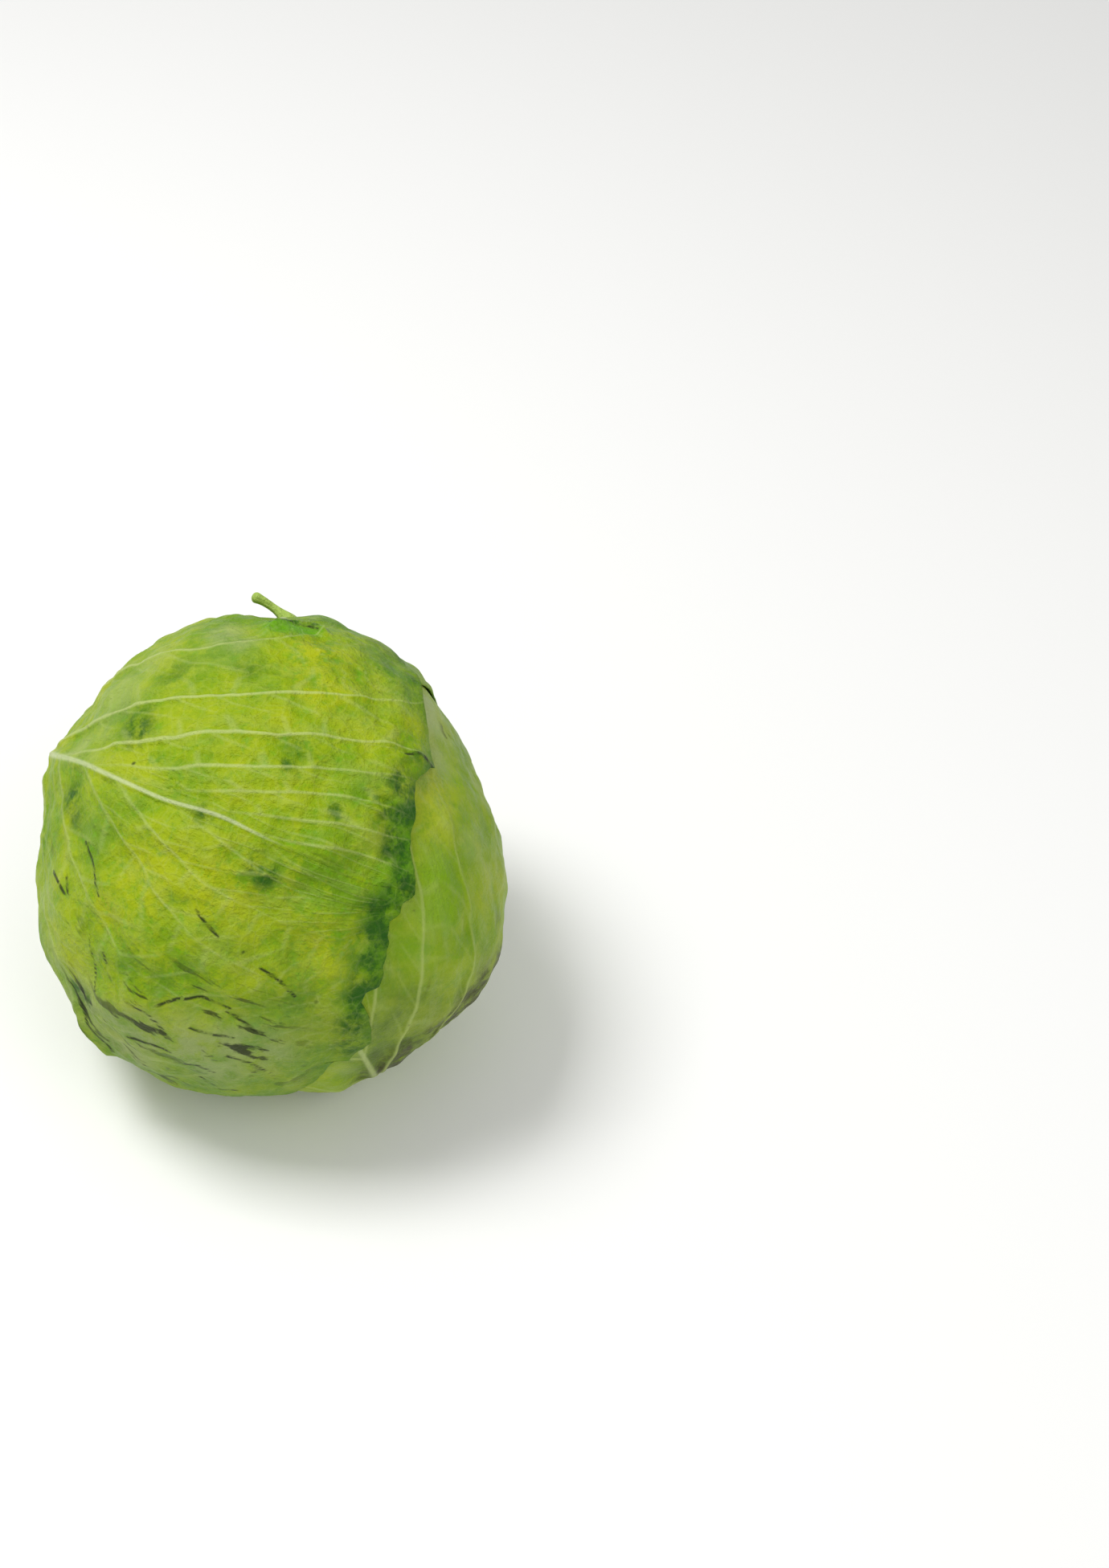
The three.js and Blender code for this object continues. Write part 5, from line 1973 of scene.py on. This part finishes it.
@dataclass(frozen=True)
class StemFinish:
    """Cabbage stem, cut with a knife: dry and fibrous, greenish cream with a browned pith.

    The dry fibres make it matt, with a fine light and dark grain.
    """

    name: str = "Cabbage stem, cut and drying"
    dark_fibre: str = "#a7ac74"
    light_fibre: str = "#d5d8ad"
    fibres_at: tuple[float, float] = (0.3, 0.7)
    tints: tuple[tuple[str, str, float], ...] = (
        ("#c9bd8e", "cut", 0.7), ("#a98f5c", "pith", 0.55)
    )
    fibre_size: float = 1.8
    fibre_depth: float = 0.4
    relief: float = 0.5
    roughness: float = 0.75
    ior: float = 1.4

    def make(self) -> bpy.types.Material:
        """The material: two fibre colours, tinted by the masks of the cut and the pith.

        Returns:
            The material, on Object coordinates and the stub's own masks.
        """
        material = bpy.data.materials.new(self.name)
        material.use_nodes = True
        tree = material.node_tree
        tree.nodes.clear()
        where = add_node(tree, "ShaderNodeTexCoord", {}, {}).outputs["Object"]
        fibre = add_node(
            tree, "ShaderNodeTexNoise", {"Scale": 1 / (self.fibre_size * MM), "Detail": 5.0},
            {"Vector": where},
        ).outputs["Fac"]
        ramp = add_node(tree, "ShaderNodeValToRGB", {}, {"Fac": fibre})
        stops = ramp.color_ramp.elements
        for stop, place, tone in zip(stops, self.fibres_at, (self.dark_fibre, self.light_fibre)):
            stop.position, stop.color = place, linear(tone)
        colour = ramp.outputs["Color"]
        for tint, mask, share in self.tints:
            on = add_node(
                tree, "ShaderNodeAttribute", {"attribute_name": mask}, {}
            ).outputs["Fac"]
            amount = add_node(
                tree, "ShaderNodeMath", {"operation": "MULTIPLY", 1: share}, {0: on}
            ).outputs[0]
            colour = add_node(
                tree, "ShaderNodeMix", {"data_type": "RGBA", 7: linear(tint)},
                {0: amount, 6: colour},
            ).outputs[2]
        bump = add_node(
            tree, "ShaderNodeBump",
            {"Strength": self.relief, "Distance": self.fibre_depth * MM}, {"Height": fibre},
        )
        shader = add_node(
            tree, "ShaderNodeBsdfPrincipled", {"Roughness": self.roughness, "IOR": self.ior},
            {"Base Color": colour, "Normal": bump.outputs["Normal"]},
        )
        add_node(tree, "ShaderNodeOutputMaterial", {}, {0: shader.outputs["BSDF"]})
        return material


@dataclass
class CutStem:
    """The stub of the stem: a cone between the stalks, cut flat across, with a dished pith."""

    form: HeadForm
    cone: float = 13.8
    top: float = 63.0
    end: float = 78.0
    edge_round: float = 2.5
    pith_radius: float = 6.0
    pith_depth: float = 1.2
    dish_band: float = 2.0
    pith_edge: tuple[float, float] = (4.5, 7.0)
    cut_edge: float = 0.6
    centre_radius: float = 0.6
    fibre_height: float = 0.3
    fibre_radius: float = 18.0
    fibre_stretch: float = 0.1
    ring_height: float = 0.12
    ring_turns: float = 2.6
    grain_height: float = 0.1
    cut_sink: float = 0.25
    around: int = 144
    side_rows: int = 14
    corner_rows: int = 9
    face_rows: int = 26

    def _profile(self) -> tuple[Array, Array]:
        """The outline down the cone, round its rim by a quarter circle and across the cut.

        Returns:
            Radii, and depths below the middle of the head, in millimetres.
        """
        slope = math.tan(math.radians(self.cone))
        rim = self.end * slope
        corner = np.linspace(0, np.pi / 2, self.corner_rows)
        side = np.linspace(self.top, self.end - self.edge_round, self.side_rows)
        radii = [
            side * slope,
            rim - self.edge_round * (1 - np.cos(corner[1:])),
            np.linspace(rim - self.edge_round, self.centre_radius, self.face_rows)[1:],
        ]
        dish_edge = smooth_step(self.pith_radius - self.dish_band, self.pith_radius, radii[2])
        depths = [
            side,
            self.end - self.edge_round * (1 - np.sin(corner[1:])),
            self.end - self.pith_depth * (1 - dish_edge),
        ]
        return np.concatenate(radii), np.concatenate(depths)

    def build(self) -> bpy.types.Object:
        """Turns a profile round the axis, with fibre ridges on the cone and rings on the cut.

        Returns:
            The object.
        """
        radius, depth = self._profile()
        angle = np.linspace(0, 2 * np.pi, self.around, endpoint=False)
        r, a = np.meshgrid(radius, angle, indexing="ij")
        d = np.repeat(depth[:, None], self.around, axis=1)
        wide = self.fibre_radius
        woody = STEM_FIBRES.at(
            np.stack([np.cos(a) * wide, np.sin(a) * wide, d * self.fibre_stretch], axis=-1)
        )
        r = r + self.fibre_height * woody * (r > self.pith_radius)
        grain = STEM_GRAIN.at(np.stack([np.cos(a) * r, np.sin(a) * r, d], axis=-1))
        growth = self.ring_height * np.sin(r * self.ring_turns) + self.grain_height * grain
        d = d + np.where(d > self.end - self.edge_round / 2, growth - self.cut_sink, 0)
        rings = np.stack([r * np.cos(a), r * np.sin(a), -d], axis=-1)
        inside, outside = [0, 0, -self.top], [0, 0, -self.end + self.pith_depth]
        points, quads, triangles = capped_tube(rings, inside, outside, turn=1)
        flat = np.hypot(points[:, 0], points[:, 1])
        cut = smooth_step(self.end - self.edge_round, self.end - self.cut_edge, -points[:, 2])
        masks = {"cut": cut, "pith": 1 - smooth_step(*self.pith_edge, flat)}
        surface = Surface(points, quads, triangles, masks, points[:, :2])
        obj = surface.to_object("cut_stem_stub", self.form)
        return dress(obj, StemFinish().make(), "cut_stem")


@dataclass
class TornStalk:
    """The torn stalk that stands off the top leaf: a tapering tube with a rounded knob."""

    form: HeadForm
    stack: Stack
    path: tuple[tuple[float, float, float], ...] = (
        (85.6, 85, -0.8), (87.4, 85.5, 1.8), (89.6, 85.5, 4.4), (92, 85, 7), (94.4, 84.5, 9.2)
    )
    radius: float = 2.15
    flatness: tuple[float, float] = (1.15, 0.9)
    root: tuple[float, float] = (0.7, 0.25)
    waist: tuple[float, float, float] = (0.22, 0.55, 0.3)
    knob: tuple[float, float, float] = (0.12, 0.93, 0.1)
    rounded_end: float = 0.1
    ridge_height: float = 0.05
    ridge_count: int = 7
    paleness: float = 0.45
    around: int = 48
    steps: int = 90

    def _line(self, seat: float) -> tuple[Array, Array]:
        """The stalk's middle line, Catmull-Rom through the path's points.

        Args:
            seat: radius of what the root stands on, in millimetres.

        Returns:
            Points in millimetres, and their shares of the way, from 0 at the root to 1.
        """
        guides = np.array([from_crown(b, a) * (seat + rise) for b, a, rise in self.path])
        place = np.linspace(0, len(guides) - 1, self.steps)
        first = np.clip(np.floor(place).astype(int), 0, len(guides) - 2)
        padded = np.concatenate([
            [2 * guides[0] - guides[1]], guides, [2 * guides[-1] - guides[-2]],
        ])
        line = np.zeros((self.steps, 3))
        for step, weight in enumerate(spline_weights(place - first)):
            line += weight[:, None] * padded[first + step]
        return line, place / place[-1]

    def _widths(self, share: Array) -> Array:
        """The section's radius.

        Args:
            share: shares of the way from the root.

        Returns:
            radius (1 + bell at the root - bell at the waist)(1 + bell at the knob), closed to
            a rounded end by a quarter circle.
        """
        root_swell, root_length = self.root
        waist_depth, waist_place, waist_length = self.waist
        knob_swell, knob_place, knob_length = self.knob
        width = 1 + root_swell * bell(share, root_length)
        width = width - waist_depth * bell(share - waist_place, waist_length)
        width = self.radius * width * (1 + knob_swell * bell(share - knob_place, knob_length))
        past = (share - 1 + self.rounded_end).clip(0) / self.rounded_end
        return width * np.sqrt(np.clip(1 - past**2, 0, 1))

    def build(self) -> bpy.types.Object:
        """Carries a flattened, ridged round section along the middle line.

        Returns:
            The object.
        """
        order = len(self.stack.leaves) - 2
        root = from_crown(*self.path[0][:2])
        covers = self.stack.covers(root[None])
        line, share = self._line(self.stack.seat(order, root[None], covers)[0] + PITCH)
        tangent = normalise(np.gradient(line, axis=0))
        side = normalise(np.cross(tangent, root))
        lift = np.cross(side, tangent)
        width = self._widths(share)
        angle = np.linspace(0, 2 * np.pi, self.around, endpoint=False)
        round_section = (
            np.cos(angle)[None, :, None] * side[:, None] * self.flatness[0]
            + np.sin(angle)[None, :, None] * lift[:, None] * self.flatness[1]
        )
        ridges = 1 + self.ridge_height * np.sin(angle * self.ridge_count)[None, :, None]
        rings = line[:, None] + round_section * ridges * width[:, None, None]
        points, quads, triangles = capped_tube(rings[:-1], line[0], line[-1], turn=-1)
        masks = plain_masks(len(points), pale=self.paleness)
        surface = Surface(points, quads, triangles, masks, points[:, :2])
        obj = surface.to_object("torn_stalk", self.form)
        finish = LeafFinish(
            name="Cabbage stalk, torn",
            deep="#86a62c", middle="#97b53c", light="#a9c254", yellow="#b3c45c",
            dark="#6d8c34", fresh="#86a82c", painted_shade="#8fa860", bloom="#9aa86c", rib="#c2d093",
            spine="#c2d093", pale="#aec272", scuff="#6b6a35", margin="#93ac50",
        )
        return dress(obj, finish.make(), "wrapper_leaf_top")


@dataclass(frozen=True)
class BoardFinish:
    """Painted board: a smooth matt white coat that takes soft shadows."""

    name: str = "Painted board, matt white"
    colour: str = "#f4f4f2"
    roughness: float = 0.8

    def make(self) -> bpy.types.Material:
        """The material, one even coat."""
        material = bpy.data.materials.new(self.name)
        material.use_nodes = True
        shader = material.node_tree.nodes["Principled BSDF"]
        shader.inputs["Base Color"].default_value = linear(self.colour)
        shader.inputs["Roughness"].default_value = self.roughness
        return material


@dataclass(frozen=True)
class Lamp:
    """A square soft light: its place and side in metres, and its power in watts."""

    name: str
    place: tuple[float, float, float]
    side: float
    power: float


@dataclass
class Studio:
    """The camera at the photograph's viewing angle, a plain pale floor and soft light."""

    form: HeadForm
    distance: float = 0.9
    long_side: float = 1952.0
    short_side: float = 1380.0
    focal_pixels: float = 2981.0
    head_pixel: tuple[float, float] = (338.0, 1063.0)
    sensor: float = 36.0
    floor_half: float = 12.0
    lamps: tuple[Lamp, ...] = (
        Lamp("key", (-0.65, 0.15, 1.4), 0.55, 16.0), Lamp("fill", (0.8, -1.0, 1.2), 1.2, 6.5)
    )
    lamp_aim: tuple[float, float, float] = (0.0, 0.0, 0.07)
    room_strength: float = 0.5

    def build(self) -> None:
        """Adds the camera, the floor, the lights and the world."""
        self._camera()
        self._floor()
        self._lights()

    def _camera(self) -> None:
        """Stands the camera off the crown and turns it so that the head is left of centre."""
        elevation = math.radians(self.form.crown_elevation)
        middle = Vector((0, 0, self.form.middle_height * MM))
        back = Vector((0, -math.cos(elevation), math.sin(elevation)))
        right = Vector((1, 0, 0))
        up = right.cross(-back)
        offset_x = self.short_side / 2 - self.head_pixel[0]
        offset_y = self.head_pixel[1] - self.long_side / 2
        forward = -back * self.focal_pixels + right * offset_x + up * offset_y
        turn = (-back).rotation_difference(forward)
        data = bpy.data.cameras.new("camera")
        data.sensor_width = self.sensor
        data.lens = self.sensor * self.focal_pixels / self.long_side
        camera = bpy.data.objects.new("camera", data)
        camera.location = middle + back * self.distance
        camera.rotation_mode = "QUATERNION"
        camera.rotation_quaternion = turn @ (-back).to_track_quat("-Z", "Y")
        bpy.context.scene.collection.objects.link(camera)
        bpy.context.scene.camera = camera

    def _floor(self) -> None:
        """A wide matt white board."""
        half = self.floor_half
        mesh = bpy.data.meshes.new("floor")
        corners = [(-half, -half, 0), (half, -half, 0), (half, half, 0), (-half, half, 0)]
        mesh.from_pydata(corners, [], [(0, 1, 2, 3)])
        floor = bpy.data.objects.new("floor", mesh)
        bpy.context.scene.collection.objects.link(floor)
        mesh.materials.append(BoardFinish().make())

    def _lights(self) -> None:
        """A broad key from the upper left, a weak fill from the right and a white room."""
        for lamp in self.lamps:
            data = bpy.data.lights.new(lamp.name, "AREA")
            data.size = lamp.side
            data.energy = lamp.power
            light = bpy.data.objects.new(lamp.name, data)
            light.location = lamp.place
            aim = Vector(self.lamp_aim) - Vector(lamp.place)
            light.rotation_mode = "QUATERNION"
            light.rotation_quaternion = aim.to_track_quat("-Z", "Y")
            bpy.context.scene.collection.objects.link(light)
        world = bpy.data.worlds.new("room")
        world.use_nodes = True
        background = world.node_tree.nodes["Background"]
        background.inputs["Color"].default_value = (1, 1, 1, 1)
        background.inputs["Strength"].default_value = self.room_strength
        bpy.context.scene.world = world
        bpy.context.scene.view_settings.view_transform = "Standard"


def main() -> None:
    """Builds the head from the inside out, reports each piece, then builds the studio."""
    logging.basicConfig(level=logging.INFO, format="%(name)s: %(message)s")
    form = HeadForm()
    stack = Stack(form, leaf_shapes())
    pieces = [
        InnerHead(form, stack).build(),
        CutStem(form).build(),
        *WrapperLeaves(form, stack).build(),
        TornStalk(form, stack).build(),
    ]
    for piece in pieces:
        mesh = piece.data
        log.info("%s: %d vertices, %d faces", piece.name, len(mesh.vertices), len(mesh.polygons))
    Studio(form).build()


if __name__ == "__main__":
    main()
